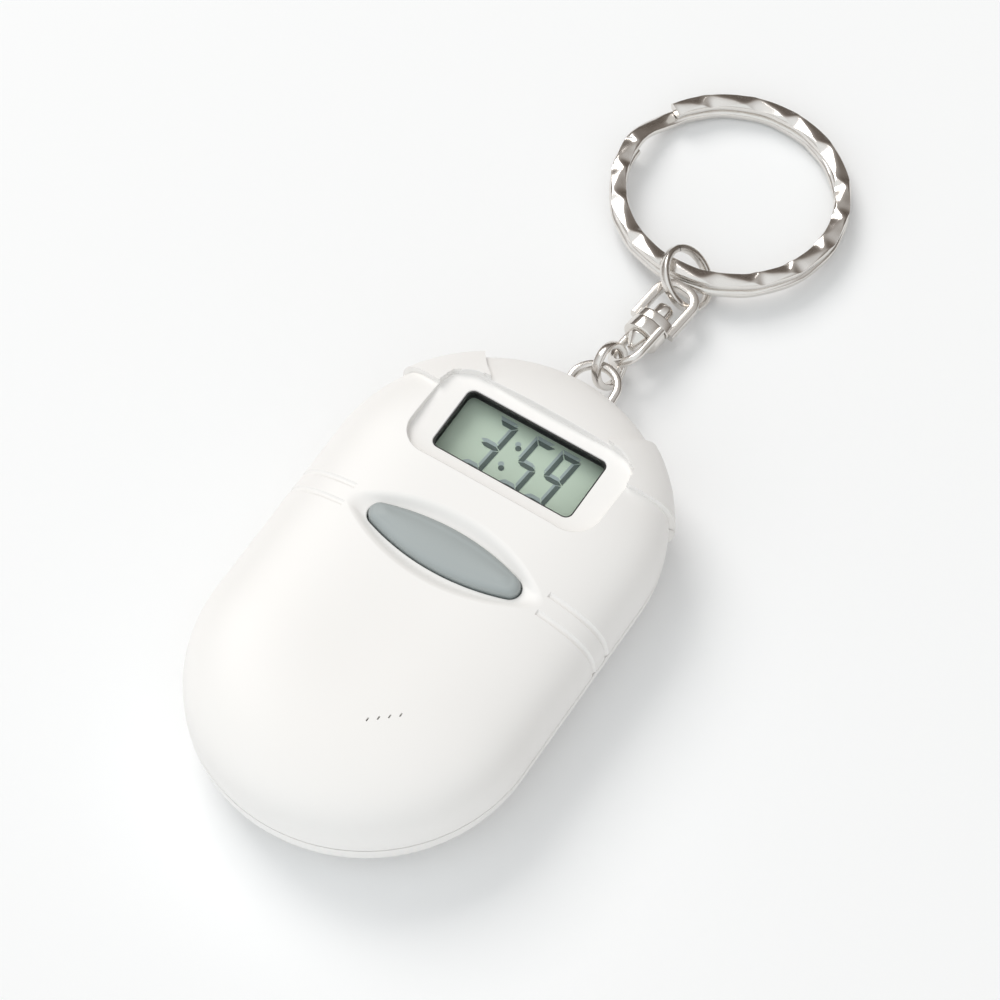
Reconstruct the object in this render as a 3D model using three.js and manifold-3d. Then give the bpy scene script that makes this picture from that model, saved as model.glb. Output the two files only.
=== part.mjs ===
// Talking clock keychain: a domed two-shell plastic casing with a display, a talk button and a loudspeaker,
// and at its far end two links, a swivel, a jump ring and a two-turn split ring.
// Millimetres. The origin is the middle of the flat back, +Z points out of the face, +Y to the split ring.
import * as THREE from 'three';
import { mergeVertices } from 'three/addons/utils/BufferGeometryUtils.js';
import Module from 'manifold-3d';

const wasm = await Module();
wasm.setup();

// Driving dimensions of the casing
const caseWidth = 39.5;
const caseLength = 63.4;
const rearDepth = 7.0;
const frontRise = 7.4;
const frontReach = 17.0;
const rearReach = 13.0;
const frontPower = 2.85;
const rearPower = 2.5;
const wall = 1.6;

// Clearances: between the shells' rims, between pieces that touch, and what a cut runs past its piece
const seamGap = 0.25;
const fitGap = 0.2;
const overrun = 1.0;

// Counts of facets
const endSteps = 18;
const domeSteps = 7;
const arcSteps = 5;
const lensSteps = 10;
const roundSides = 16;
const smallSides = 12;

const quarterTurn = Math.PI / 2;
const halfTurn = Math.PI;
const fullTurn = 2 * Math.PI;

// Places worked out from the casing
const caseRadius = caseWidth / 2;
const farEnd = caseLength / 2;
const endCentre = farEnd - caseRadius;
const crown = rearDepth + frontRise;
const rearFloor = wall;

// Materials
function plastic(color, roughness) {
  return new THREE.MeshStandardMaterial({ color, roughness, metalness: 0 });
}

function metal(color, roughness) {
  return new THREE.MeshStandardMaterial({ color, roughness, metalness: 1 });
}

const whitePlastic = plastic(0xf3f2ee, 0.4);
const greyRubber = plastic(0x929c9b, 0.55);
const clearPlastic = new THREE.MeshStandardMaterial({
  color: 0xffffff,
  roughness: 0.05,
  metalness: 0,
  transparent: true,
  opacity: 0.25,
});
const displayGlass = plastic(0xa3b4a4, 0.15);
const blackPlastic = plastic(0x222222, 0.5);
const boardGreen = plastic(0x1f6b3a, 0.5);
const foam = plastic(0x333333, 0.95);
const paperCone = plastic(0x2b2a28, 0.9);
const nickel = metal(0xcfc9c2, 0.18);
const steel = metal(0xb8b8b6, 0.35);
const brass = metal(0xc9a54c, 0.3);

// Solids, joined and cut
function solid(geometry) {
  const bare = geometry.clone();
  bare.deleteAttribute('normal');
  bare.deleteAttribute('uv');
  const merged = mergeVertices(bare);
  return new wasm.Manifold(new wasm.Mesh({
    numProp: 3,
    vertProperties: new Float32Array(merged.attributes.position.array),
    triVerts: new Uint32Array(merged.index.array),
  }));
}

function geometryOf(body) {
  const mesh = body.getMesh();
  const geometry = new THREE.BufferGeometry();
  geometry.setAttribute('position', new THREE.BufferAttribute(mesh.vertProperties, mesh.numProp));
  geometry.setIndex(new THREE.BufferAttribute(mesh.triVerts, 1));
  return geometry;
}

function union(bodies) {
  return bodies.reduce((whole, body) => whole.add(body));
}

function piece(name, geometry, material) {
  const flat = geometry.index ? geometry.toNonIndexed() : geometry;
  flat.computeVertexNormals();
  const mesh = new THREE.Mesh(flat, material);
  mesh.name = name;
  return mesh;
}

// Outlines, each a list of points counterclockwise seen from the front
function arc(x, y, radius, from, to, steps = arcSteps) {
  const points = [];
  for (let step = 0; step < steps; step++) {
    const angle = from + (to - from) * step / steps;
    points.push(new THREE.Vector2(x + radius * Math.cos(angle), y + radius * Math.sin(angle)));
  }
  return points;
}

function roundedBox(halfX, halfY, radius, x = 0, y = 0) {
  const cornerX = halfX - radius;
  const cornerY = halfY - radius;
  const corners = [[1, 1], [-1, 1], [-1, -1], [1, -1]];
  return corners.flatMap(([right, up], turn) => {
    const from = turn * quarterTurn;
    const rounding = arc(x + right * cornerX, y + up * cornerY, radius, from, from + quarterTurn);
    const last = from + quarterTurn;
    const end = new THREE.Vector2(
      x + right * cornerX + radius * Math.cos(last),
      y + up * cornerY + radius * Math.sin(last),
    );
    return [...rounding, end];
  });
}

function box(halfX, halfY, x = 0, y = 0) {
  const corners = [[-1, -1], [1, -1], [1, 1], [-1, 1]];
  return corners.map(([right, up]) => new THREE.Vector2(x + right * halfX, y + up * halfY));
}

// Two long arcs that meet in round tips
function lens(halfLength, halfHeight, tipRadius, y = 0) {
  const tipX = halfLength - tipRadius;
  const sag = halfHeight - tipRadius;
  const coreRadius = (tipX * tipX + sag * sag) / (2 * sag);
  const longRadius = coreRadius + tipRadius;
  const drop = coreRadius - sag;
  const reach = Math.asin(tipX / coreRadius);
  const lowest = halfTurn + quarterTurn;
  return [
    ...arc(0, y - drop, longRadius, quarterTurn - reach, quarterTurn + reach, lensSteps),
    ...arc(-tipX, y, tipRadius, quarterTurn + reach, lowest - reach),
    ...arc(0, y + drop, longRadius, lowest - reach, lowest + reach, lensSteps),
    ...arc(tipX, y, tipRadius, lowest + reach, fullTurn + quarterTurn - reach),
  ];
}

// Pieces of a constant outline, standing along Z
function prism(points, bottom, top) {
  const depth = top - bottom;
  const geometry = new THREE.ExtrudeGeometry(new THREE.Shape(points), { depth, bevelEnabled: false });
  return solid(geometry.translate(0, 0, bottom));
}

function post(radius, bottom, top, x = 0, y = 0, sides = roundSides) {
  const geometry = new THREE.CylinderGeometry(radius, radius, top - bottom, sides);
  geometry.rotateX(quarterTurn);
  return solid(geometry.translate(x, y, (top + bottom) / 2));
}

// Closed body through outlines of equal count, listed from the lowest up
function stack(rings) {
  const count = rings[0].length;
  const points = rings.flat();
  const index = [];
  for (let level = 0; level + 1 < rings.length; level++) {
    for (let side = 0; side < count; side++) {
      const a = level * count + side;
      const b = level * count + (side + 1) % count;
      index.push(a, b, b + count, a, b + count, a + count);
    }
  }
  const lowest = points.push(middleOf(rings[0])) - 1;
  const highest = points.push(middleOf(rings[rings.length - 1])) - 1;
  const lastLevel = (rings.length - 1) * count;
  for (let side = 0; side < count; side++) {
    const next = (side + 1) % count;
    index.push(lowest, next, side);
    index.push(highest, lastLevel + side, lastLevel + next);
  }
  const geometry = new THREE.BufferGeometry().setFromPoints(points);
  geometry.setIndex(index);
  return geometry;
}

function middleOf(points) {
  const sum = points.reduce((total, point) => total.add(point), new THREE.Vector3());
  return sum.divideScalar(points.length);
}

function ringOf(points, height) {
  return points.map((point) => new THREE.Vector3(point.x, point.y, height));
}

// Round-ended outline of the casing, drawn in by an inset
function caseOutline(radius, height) {
  const points = [];
  for (const end of [1, -1]) {
    for (let step = 0; step <= endSteps; step++) {
      const angle = halfTurn * step / endSteps + (end > 0 ? 0 : halfTurn);
      const y = end * endCentre + radius * Math.sin(angle);
      points.push(new THREE.Vector3(radius * Math.cos(angle), y, height));
    }
  }
  return points;
}

// Half of the casing's rounded body; grow and raise: how far its skin lies outside and above the casing's own
const frontSide = { up: 1, base: rearDepth, rise: frontRise, reach: frontReach, power: frontPower };
const rearSide = { up: -1, base: rearDepth, rise: rearDepth, reach: rearReach, power: rearPower };

function domedBody(side, grow, raise = grow) {
  const rings = [];
  for (let step = 0; step <= domeSteps; step++) {
    const angle = quarterTurn * step / domeSteps;
    const inset = (side.reach + grow) * (1 - Math.cos(angle) ** (2 / side.power));
    const height = (side.rise + raise) * Math.sin(angle) ** (2 / side.power);
    rings.push(caseOutline(caseRadius + grow - inset, side.base + side.up * height));
  }
  return solid(stack(side.up > 0 ? rings : rings.reverse()));
}

// Bodies swept along a flat path in XY; the section is listed as outward and upward shares of its halves
const wireSectionShares = [
  [1, 0.45],
  [0.6, 1],
  [-0.6, 1],
  [-1, 0.45],
  [-1, -0.45],
  [-0.6, -1],
  [0.6, -1],
  [1, -0.45],
];
const splitSectionShares = [[1, 0], [0.62, 1], [-0.62, 1], [-1, 0], [-0.62, -1], [0.62, -1]];

function sweptPoints(path, halfWidth, halfHeight, shares) {
  return path.map(({ x, y, z, out }) => shares.map(([across, along]) => new THREE.Vector3(
    x + out.x * across * halfWidth,
    y + out.y * across * halfWidth,
    z + along * halfHeight,
  )));
}

function loopGeometry(sections) {
  const count = sections[0].length;
  const index = [];
  for (let at = 0; at < sections.length; at++) {
    const next = (at + 1) % sections.length;
    for (let side = 0; side < count; side++) {
      const a = at * count + side;
      const b = at * count + (side + 1) % count;
      const c = next * count + (side + 1) % count;
      const d = next * count + side;
      index.push(a, b, c, a, c, d);
    }
  }
  const geometry = new THREE.BufferGeometry().setFromPoints(sections.flat());
  geometry.setIndex(index);
  return facingOut(geometry);
}

// Turns a closed body's faces over if they point in
function facingOut(geometry) {
  const at = geometry.attributes.position;
  const index = geometry.index.array;
  const corners = [new THREE.Vector3(), new THREE.Vector3(), new THREE.Vector3()];
  let volume = 0;
  for (let face = 0; face < index.length; face += 3) {
    corners.forEach((corner, turn) => corner.fromBufferAttribute(at, index[face + turn]));
    volume += corners[0].dot(corners[1].cross(corners[2]));
  }
  if (volume < 0) {
    geometry.setIndex(Array.from(index).reverse());
  }
  return geometry;
}

// Flat loop of two half circles and two straights, along Y
function ovalPath(halfWidth, halfLength, steps) {
  const straight = halfLength - halfWidth;
  const path = [];
  for (const end of [1, -1]) {
    for (let step = 0; step <= steps; step++) {
      const angle = halfTurn * step / steps + (end > 0 ? 0 : halfTurn);
      const out = new THREE.Vector2(Math.cos(angle), Math.sin(angle));
      path.push({ x: halfWidth * out.x, y: end * straight + halfWidth * out.y, z: 0, out });
    }
  }
  return path;
}

function roundPath(radius, steps) {
  const path = [];
  for (let step = 0; step < steps; step++) {
    const angle = fullTurn * step / steps;
    const out = new THREE.Vector2(Math.cos(angle), Math.sin(angle));
    path.push({ x: radius * out.x, y: radius * out.y, z: 0, out });
  }
  return path;
}

// Bow of a bail: two legs along Y that a rounded end joins, opening towards +Y
function bowPath(halfWidth, bendRadius, legLength, steps) {
  const path = [{ x: halfWidth, y: legLength, z: 0, out: new THREE.Vector2(1, 0) }];
  const halfFlat = halfWidth - bendRadius;
  for (const [side, from] of [[1, 0], [-1, -quarterTurn]]) {
    const first = side < 0 && halfFlat === 0 ? 1 : 0;
    for (let step = first; step <= steps; step++) {
      const angle = from - quarterTurn * step / steps;
      const out = new THREE.Vector2(Math.cos(angle), Math.sin(angle));
      path.push({ x: side * halfFlat + bendRadius * out.x, y: bendRadius + bendRadius * out.y, z: 0, out });
    }
  }
  path.push({ x: -halfWidth, y: legLength, z: 0, out: new THREE.Vector2(-1, 0) });
  return path;
}

// Body swept along a path with two ends, which are closed flat
function rodGeometry(sections) {
  const body = stack(sections);
  return facingOut(body);
}

// Round rod along Y, about the origin
function rod(radius, length) {
  return new THREE.CylinderGeometry(radius, radius, length, smallSides);
}

// Bodies turned about Z; the profile of radius and height ends on the axis or closes on itself
function turned(profile, sides = roundSides) {
  const points = profile.map(([radius, height]) => new THREE.Vector2(radius, height));
  return new THREE.LatheGeometry(points, sides).rotateX(quarterTurn);
}

// Height of the casing's skin above the parting plane, at a distance in from the rim
function skinRise(side, grow, fromRim) {
  const share = Math.max(0, 1 - fromRim / (side.reach + grow));
  return (side.rise + grow) * (1 - share ** side.power) ** (1 / side.power);
}

// Display: the sunk panel, its window and what lies under it
const panelPlaceShare = 0.2847;
const panelWidthShare = 0.3215;
const panelHeightShare = 0.0946;
const panel = {
  y: panelPlaceShare * caseLength,
  halfWidth: panelWidthShare * caseWidth,
  halfHeight: panelHeightShare * caseLength,
  cornerRadius: 3.5,
  sunk: 1.6,
  thickness: 1.1,
  border: 1.85,
  sideBorder: 3.85,
};
const panelTop = crown - panel.sunk;
const windowOpening = {
  halfWidth: panel.halfWidth - panel.sideBorder,
  halfHeight: panel.halfHeight - panel.border,
  cornerRadius: 1.0,
};
const pane = { thickness: 0.6 };
const glassMargin = 0.8;
const glassLap = 1.35;
const glass = {
  halfWidth: windowOpening.halfWidth + glassLap,
  halfHeight: panel.halfHeight - glassMargin,
  thickness: 0.7,
  ledge: 2.2,
  sealGap: 0.05,
};
const holder = { sideWall: 0.9, endWall: 0.6, shelf: 0.8 };
const rubberStrip = { endMargin: 1.2, thickness: 1.5 };
const panelUnderside = panelTop - panel.thickness;
const glassTop = panelUnderside - fitGap;
const glassMiddle = glassTop - glass.thickness;
const glassBottom = glassMiddle - glass.sealGap - glass.thickness;
const holderHalfX = glass.halfWidth + fitGap + holder.sideWall;
const holderFar = panel.y + glass.halfHeight + fitGap + holder.endWall;
const holderNear = panel.y - glass.halfHeight - glass.ledge - fitGap - holder.endWall;
const holderY = (holderFar + holderNear) / 2;
const holderHalfY = (holderFar - holderNear) / 2;

// Circuit board
const boardNearShare = -0.041;
const boardFarShare = 0.3943;
const board = {
  aboveCells: 0.55,
  thickness: 0.8,
  cornerRadius: 5.0,
  postInset: 1.7,
  chipInset: 3.9,
  crystalInset: 4.1,
};
const boardY = (boardFarShare + boardNearShare) / 2 * caseLength;
const boardHalfY = (boardFarShare - boardNearShare) / 2 * caseLength;

// Talk button in its eye-shaped dish
const buttonPlaceShare = 0.0497;
const button = {
  y: buttonPlaceShare * caseLength,
  halfLength: 9.5,
  halfHeight: 2.6,
  tipRadius: 1.2,
  rise: 1.3,
  edgeInset: 1.0,
  edgeHeight: 0.8,
  flange: 0.9,
  flangeThickness: 0.6,
  travel: 0.8,
};
const buttonEdgeShares = [[0, 0], [0.1, 0.45], [0.4, 0.85], [1, 1]];
const dish = { sunk: 0.8, floorMargin: 0.4, rimHalfLength: 12.2, rimHalfHeight: 4.55, rimTipRadius: 0.5 };
const dishFloor = crown - dish.sunk;
const keyPad = { footRadius: 3.2, footHeight: 0.6, skirtRadius: 2.5, domeRadius: 1.9 };

// Belt grooves, shoulder ears and sound slots of the front shell
const groove = { width: 0.6, depth: 0.35, from: 12.35, beyondButton: 1.5, beforeButton: 1.0 };
const ear = {
  rise: 0.7,
  farFromPanel: 0.3,
  nearFromPanel: 3.4,
  nearDrop: 2.0,
  farOuterX: 13.2,
  farOuterBeyond: 0.9,
};
const earInnerShare = 0.58;
const soundPlaceShare = -0.2737;
const soundSlot = { x: 5.8, y: soundPlaceShare * caseLength, spacing: 1.18, width: 0.35, length: 0.8 };
const soundSlotCount = 4;
const soundRowAngle = 0.72;
const tongue = { thickness: 0.7, height: 0.9 };

// Loudspeaker, whose gasket lies under the front shell's curved ceiling
const speakerPlaceShare = -0.2129;
const speakerSizeShare = 0.1498;
const speakerBackShare = 0.674;
const magnetShare = 0.463;
const coneCapShare = 0.274;
const speaker = {
  y: speakerPlaceShare * caseLength,
  radius: speakerSizeShare * caseLength,
  rimHeight: 0.8,
  rimWidth: 1.2,
  depth: 3.0,
  wall: 0.5,
};
const speakerBackRadius = speakerBackShare * speaker.radius;
const magnet = { radius: magnetShare * speaker.radius, height: 2.2 };
const cone = { thickness: 0.3, capRadius: coneCapShare * speaker.radius, capRise: 0.7, sink: 1.1 };
const gasket = { width: 1.2, height: 0.25 };
const speakerSeat = { depth: 1.0, ribThickness: 0.8 };
const speakerFromRim = Math.min(caseRadius, farEnd + speaker.y) - wall - speaker.radius;
const speakerTop = rearDepth + skinRise(frontSide, -wall, speakerFromRim) - fitGap - gasket.height;

// Cells and their contacts
const cellPlaceShare = 0.1498;
const cell = {
  radius: 5.8,
  height: 5.4,
  spacing: 12.1,
  y: cellPlaceShare * caseLength,
  stepHeight: 0.9,
  stepInset: 0.9,
};
const contact = { thickness: 0.25, halfWidth: 2.4, tabHalfWidth: 1.6 };
const bay = { wall: 1.0, height: 6.3 };
const cover = { lip: 1.0, thickness: 1.2, tabHalfWidth: 3.2, tabLength: 4.6, cornerRadius: 1.6 };
const bayHalfX = cell.spacing / 2 + cell.radius + fitGap;
const bayHalfY = cell.radius + fitGap;
const coverHalfX = bayHalfX + cover.lip;
const coverHalfY = bayHalfY + cover.lip;
const bridgeBottom = cover.thickness + fitGap;
const cellBottom = bridgeBottom + contact.thickness + fitGap / 2;
const boardBottom = cellBottom + cell.height + board.aboveCells;
const boardTop = boardBottom + board.thickness;

// Screws
const screw = { shankRadius: 0.75, headRadius: 1.4, headHeight: 0.9, tipLength: 0.5, bite: 3.0, seat: 2.9 };
const screwLength = rearDepth + screw.bite - screw.seat + screw.headHeight;
const screwCrownShare = 0.7;
const coverScrew = { headHeight: 0.6, length: 4.2, sink: 0.15 };
const nearBossShare = 0.6886;
const farBossShare = 0.6835;
const boss = { radius: 2.0, nearOutward: 0.25, farOutward: 6.95, pilotDepth: 4.4 };
const nearBossX = nearBossShare * caseRadius;
const farBossX = farBossShare * caseRadius;
const nearBossY = -endCentre - boss.nearOutward;
const farBossY = endCentre + boss.farOutward;
const bossPlaces = {
  near_left: [-nearBossX, nearBossY],
  near_right: [nearBossX, nearBossY],
  far_left: [-farBossX, farBossY],
  far_right: [farBossX, farBossY],
};
const coverScrewY = cell.y + coverHalfY + cover.tabLength / 2;
const coverScrewSeat = coverScrew.sink + coverScrew.headHeight;

// The pocket at the far end and the post that the first link hangs on
const ringPost = { fromEnd: 3.7, radius: 0.9, seatDepth: 0.6, length: 4.0 };
const ringPostY = farEnd - ringPost.fromEnd;
const pocket = { bottom: 3.1, top: 5.2, halfWidth: 4.8, behindPost: 2.4, wall: 1.0, roof: 1.4 };
const pocketNear = ringPostY - pocket.behindPost;

// Setting keys at the back, in front of the pocket, and the posts that carry the board
const setKey = {
  x: 5.6,
  fromPocket: 0.5,
  radius: 1.4,
  sink: 0.5,
  flange: 0.6,
  flangeHeight: 0.6,
  stemRadius: 0.9,
  travel: 0.5,
};
const setKeyY = pocketNear - pocket.wall - setKey.radius - setKey.flange - setKey.fromPocket;
const setSwitch = { radius: 1.1, height: 0.5 };
const boardPostPlaceShare = 0.3281;
const boardPost = { x: holderHalfX - board.postInset, y: boardPostPlaceShare * caseLength, radius: 1.1 };

// Small parts on the board
const chipPlaceShare = 0.041;
const crystalPlaceShare = 0.0789;
const capacitorPlaceShare = 0.0189;
const chip = {
  x: board.chipInset - holderHalfX,
  y: chipPlaceShare * caseLength,
  radius: 2.5,
  height: 1.1,
};
const chipShoulderShares = [0.75, 0.7];
const crystal = {
  x: holderHalfX - board.crystalInset,
  y: crystalPlaceShare * caseLength,
  radius: 0.9,
  length: 5.4,
};
const capacitor = {
  x: crystal.x,
  y: capacitorPlaceShare * caseLength,
  halfX: 1.6,
  halfY: 0.9,
  height: 1.2,
};

// Chain: each piece is placed from the one before it
const turningGap = 0.15;
const firstLink = { halfWidth: 2.8, reach: 9.7, wireWidth: 0.8, wireHeight: 1.1, height: 4.0, turn: 0.078 };
const firstLinkFar = ringPostY + firstLink.reach * Math.cos(firstLink.turn);
const secondLink = { radius: 2.46, wireWidth: 0.76, wireHeight: 1.0, x: -0.6, beyond: 0.63, height: 3.2 };
const secondLinkY = firstLinkFar + secondLink.beyond;
const secondLinkTilt = { lean: 1.2, heading: -0.044 };
const swivel = { x: -0.02, beyond: 0.7, height: 3.3, turn: -0.096, roll: -0.7 };
const swivelY = secondLinkY + swivel.beyond;
const lowerBail = { halfWidth: 2.2, rod: 1.05, drumNear: 4.1, drumFar: 6.0, drumRadius: 2.3 };
const rivet = {
  shankRadius: 0.5,
  tailRadius: 0.55,
  headRadius: 1.5,
  headLength: 1.5,
  knobRadius: 1.1,
  knobLength: 1.8,
};
const upperBail = {
  halfWidth: 2.4,
  rod: 1.1,
  bendRadius: 1.3,
  length: 6.4,
  strapWidth: 1.3,
  strapHeight: 2.4,
};
const strapNear = lowerBail.drumFar + turningGap;
const strapFar = strapNear + upperBail.strapWidth;
const bailFar = strapNear + upperBail.length;
const jumpRing = {
  radius: 3.57,
  wireWidth: 0.74,
  wireHeight: 1.0,
  x: 0.58,
  beyond: 1.5,
  height: 3.25,
  slit: 0.12,
  slitAngle: 2.37,
};
const jumpRingY = swivelY + bailFar * Math.cos(swivel.turn) + jumpRing.beyond;
const jumpRingTilt = { lean: 0.782, heading: 0.326 };
const splitRing = { radius: 13.0, wireWidth: 2.0, wireHeight: 1.2, turnGap: 0.45, x: -1.53, beyond: 0.1 };
const splitRingY = jumpRingY + splitRing.radius + splitRing.beyond;
const splitRingTilt = 0.063;
const splitTopEnd = 2.63;
const splitJog = 0.525;
const rodSides = 8;
const linkSteps = 10;
const ringSteps = 24;
const bendSteps = 5;

const model = new THREE.Group();
model.name = 'talking_clock_keychain';
const casing = new THREE.Group();
model.add(casing);

// Shoulder ears: a wedge on each side, seen from the front
function earWedge(side) {
  const inner = panel.halfWidth * earInnerShare;
  const nearX = panel.halfWidth - overrun;
  const nearY = panel.y + panel.halfHeight - ear.nearFromPanel;
  const outline = [
    [inner, panel.y + panel.halfHeight + ear.farFromPanel],
    [ear.farOuterX, farEnd + ear.farOuterBeyond],
    [caseWidth, farEnd + ear.farOuterBeyond],
    [caseWidth, nearY + ear.nearDrop],
    [nearX, nearY],
  ];
  const points = outline.map(([x, y]) => new THREE.Vector2(side * x, y));
  return prism(side > 0 ? points.reverse() : points, 0, crown + overrun);
}

function withEars(body, side, raise) {
  const swollen = domedBody(side, ear.rise, raise);
  return union([body, swollen.intersect(earWedge(1)), swollen.intersect(earWedge(-1))]);
}

// Slab between two heights, wider than the whole casing
function slab(bottom, top) {
  return prism(box(caseWidth, caseLength), bottom, top);
}

function ringPrism(outer, inner, bottom, top) {
  return solid(stack([caseOutline(outer, bottom), caseOutline(outer, top)]))
    .subtract(solid(stack([caseOutline(inner, bottom - overrun), caseOutline(inner, top + overrun)])));
}

function dishCut() {
  const lipHeight = crown - dishFloor;
  const hole = lens(
    button.halfLength + fitGap,
    button.halfHeight + fitGap,
    button.tipRadius + fitGap,
    button.y,
  );
  const floorOutline = lens(
    button.halfLength + dish.floorMargin,
    button.halfHeight + dish.floorMargin,
    button.tipRadius,
    button.y,
  );
  const spread = 1 + overrun / lipHeight;
  const topOutline = lens(
    button.halfLength + (dish.rimHalfLength - button.halfLength) * spread,
    button.halfHeight + (dish.rimHalfHeight - button.halfHeight) * spread,
    dish.rimTipRadius,
    button.y,
  );
  const bowl = solid(stack([ringOf(floorOutline, dishFloor), ringOf(topOutline, crown + overrun)]));
  return bowl.add(prism(hole, rearDepth, crown));
}

function grooveCut(skin) {
  const cuts = [];
  for (const side of [1, -1]) {
    for (const y of [button.y + groove.beyondButton, button.y - groove.beforeButton]) {
      const halfX = caseWidth - groove.from;
      const outline = box(halfX, groove.width / 2, side * (groove.from + halfX), y);
      cuts.push(prism(outline, rearDepth, crown + overrun));
    }
  }
  return union(cuts).intersect(skin.subtract(domedBody(frontSide, -groove.depth)));
}

function soundSlots() {
  const slots = [];
  for (let at = 0; at < soundSlotCount; at++) {
    const along = (at - (soundSlotCount - 1) / 2) * soundSlot.spacing;
    const geometry = new THREE.BoxGeometry(soundSlot.width, soundSlot.length, frontRise);
    const x = soundSlot.x + along * Math.cos(soundRowAngle);
    const y = soundSlot.y + along * Math.sin(soundRowAngle);
    slots.push(solid(geometry.translate(x, y, crown)));
  }
  return union(slots);
}

function frontShell() {
  const base = rearDepth + seamGap / 2;
  const skin = withEars(domedBody(frontSide, 0), frontSide, ear.rise);
  const hollow = domedBody(frontSide, -wall)
    .add(prism(box(holderHalfX + fitGap, holderHalfY + fitGap, 0, holderY), base, panelUnderside))
    .subtract(prism(
      box(panel.halfWidth + wall, panel.halfHeight + wall, 0, panel.y),
      panelUnderside,
      crown,
    ));
  const rebate = solid(stack([
    caseOutline(caseRadius - wall + tongue.thickness + fitGap, rearDepth - overrun),
    caseOutline(caseRadius - wall + tongue.thickness + fitGap, rearDepth + tongue.height + fitGap),
  ]));
  const panelCut = prism(
    roundedBox(panel.halfWidth, panel.halfHeight, panel.cornerRadius, 0, panel.y),
    panelTop,
    crown + overrun,
  );
  const opening = prism(
    roundedBox(windowOpening.halfWidth, windowOpening.halfHeight, windowOpening.cornerRadius, 0, panel.y),
    rearDepth,
    crown,
  );
  const bosses = union(Object.values(bossPlaces).map(([x, y]) => post(boss.radius, base, crown, x, y)));
  const seatRadius = speaker.radius + fitGap;
  const seatBottom = speakerTop - speakerSeat.depth;
  const seat = post(seatRadius + speakerSeat.ribThickness, seatBottom, crown, 0, speaker.y)
    .subtract(post(seatRadius, rearDepth, crown + overrun, 0, speaker.y));
  const fittings = bosses.add(seat).intersect(domedBody(frontSide, -wall / 2));
  const pilots = union(Object.values(bossPlaces).map(([x, y]) => post(
    screw.shankRadius + fitGap / 2,
    rearDepth,
    rearDepth + boss.pilotDepth,
    x,
    y,
    smallSides,
  )));
  return skin
    .subtract(hollow)
    .subtract(rebate)
    .add(fittings)
    .subtract(panelCut)
    .subtract(opening)
    .subtract(dishCut())
    .subtract(grooveCut(skin))
    .subtract(soundSlots())
    .subtract(pilots)
    .subtract(slab(-overrun, base));
}

function coverOutline(clearance) {
  const plate = prism(
    roundedBox(coverHalfX + clearance, coverHalfY + clearance, cover.cornerRadius, 0, cell.y),
    -overrun,
    cover.thickness + clearance,
  );
  const tab = prism(
    box(cover.tabHalfWidth + clearance, cover.tabLength / 2 + clearance, 0, coverScrewY),
    -overrun,
    cover.thickness + clearance,
  );
  return plate.add(tab);
}

function rearShell() {
  const skin = withEars(domedBody(rearSide, 0), rearSide, 0);
  const hollow = domedBody(rearSide, -wall);
  const rim = rearDepth - seamGap / 2;
  const ribOuter = caseRadius - wall + tongue.thickness;
  const ribInner = caseRadius - wall - tongue.thickness;
  const rib = ringPrism(ribOuter, ribInner, rearDepth - 2 * tongue.height, rearDepth + tongue.height);
  const bayWalls = prism(box(bayHalfX + bay.wall, bayHalfY + bay.wall, 0, cell.y), 0, bay.height);
  const screwBlock = post(boss.radius, 0, bay.height, 0, coverScrewY);
  const bosses = union(Object.values(bossPlaces).map(([x, y]) => post(boss.radius, 0, rim, x, y)));
  const boardPosts = union([1, -1].map((side) => post(
    boardPost.radius,
    0,
    boardBottom - fitGap,
    side * boardPost.x,
    boardPost.y,
    smallSides,
  )));
  const pocketHalfX = pocket.halfWidth + pocket.wall;
  const pocketHalfY = caseLength / 4;
  const pocketBlock = prism(
    box(pocketHalfX, pocketHalfY, 0, pocketNear - pocket.wall + pocketHalfY),
    0,
    pocket.top + pocket.roof,
  );
  const solidWithin = union([bayWalls, screwBlock, bosses, pocketBlock]).intersect(skin);
  const tallPosts = boardPosts.intersect(skin.add(slab(rearDepth, crown)));
  const pocketCut = prism(
    box(pocket.halfWidth, pocketHalfY, 0, pocketNear + pocketHalfY),
    pocket.bottom,
    pocket.top,
  );
  const top = rearDepth + overrun;
  const postHoleBottom = pocket.bottom - ringPost.seatDepth - fitGap;
  const postHole = post(ringPost.radius + fitGap / 2, postHoleBottom, top, 0, ringPostY, smallSides);
  const cellHoles = [1, -1].map((side) => {
    const x = side * cell.spacing / 2;
    return post(cell.radius + fitGap, -overrun, top, x, cell.y, ringSteps);
  });
  const cellHole = union(cellHoles)
    .add(prism(box(cell.spacing / 2, bayHalfY / 2, 0, cell.y), -overrun, top));
  const screwHoles = union(Object.values(bossPlaces).map(([x, y]) => {
    const recess = post(screw.headRadius + fitGap, -overrun, screw.seat, x, y);
    return recess.add(post(screw.shankRadius + fitGap, -overrun, top, x, y, smallSides));
  }));
  const coverScrewHole = post(screw.shankRadius + fitGap / 2, -overrun,
    coverScrewSeat + coverScrew.length + fitGap, 0, coverScrewY, smallSides);
  const keyHoles = union([1, -1].map((side) => {
    const x = side * setKey.x;
    const recess = post(setKey.radius + setKey.flange + fitGap, rearFloor, rearDepth, x, setKeyY);
    return recess.add(post(setKey.radius + fitGap, -overrun, rearDepth, x, setKeyY));
  }));
  return skin
    .subtract(hollow)
    .add(rib.intersect(skin.add(slab(rim, crown))))
    .subtract(slab(rim, crown).subtract(solid(stack([
      caseOutline(ribOuter, rearDepth - overrun),
      caseOutline(ribOuter, crown + overrun),
    ]))))
    .add(solidWithin)
    .add(tallPosts)
    .subtract(pocketCut)
    .subtract(postHole)
    .subtract(cellHole)
    .subtract(screwHoles)
    .subtract(coverOutline(fitGap))
    .subtract(coverScrewHole)
    .subtract(keyHoles);
}

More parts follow.
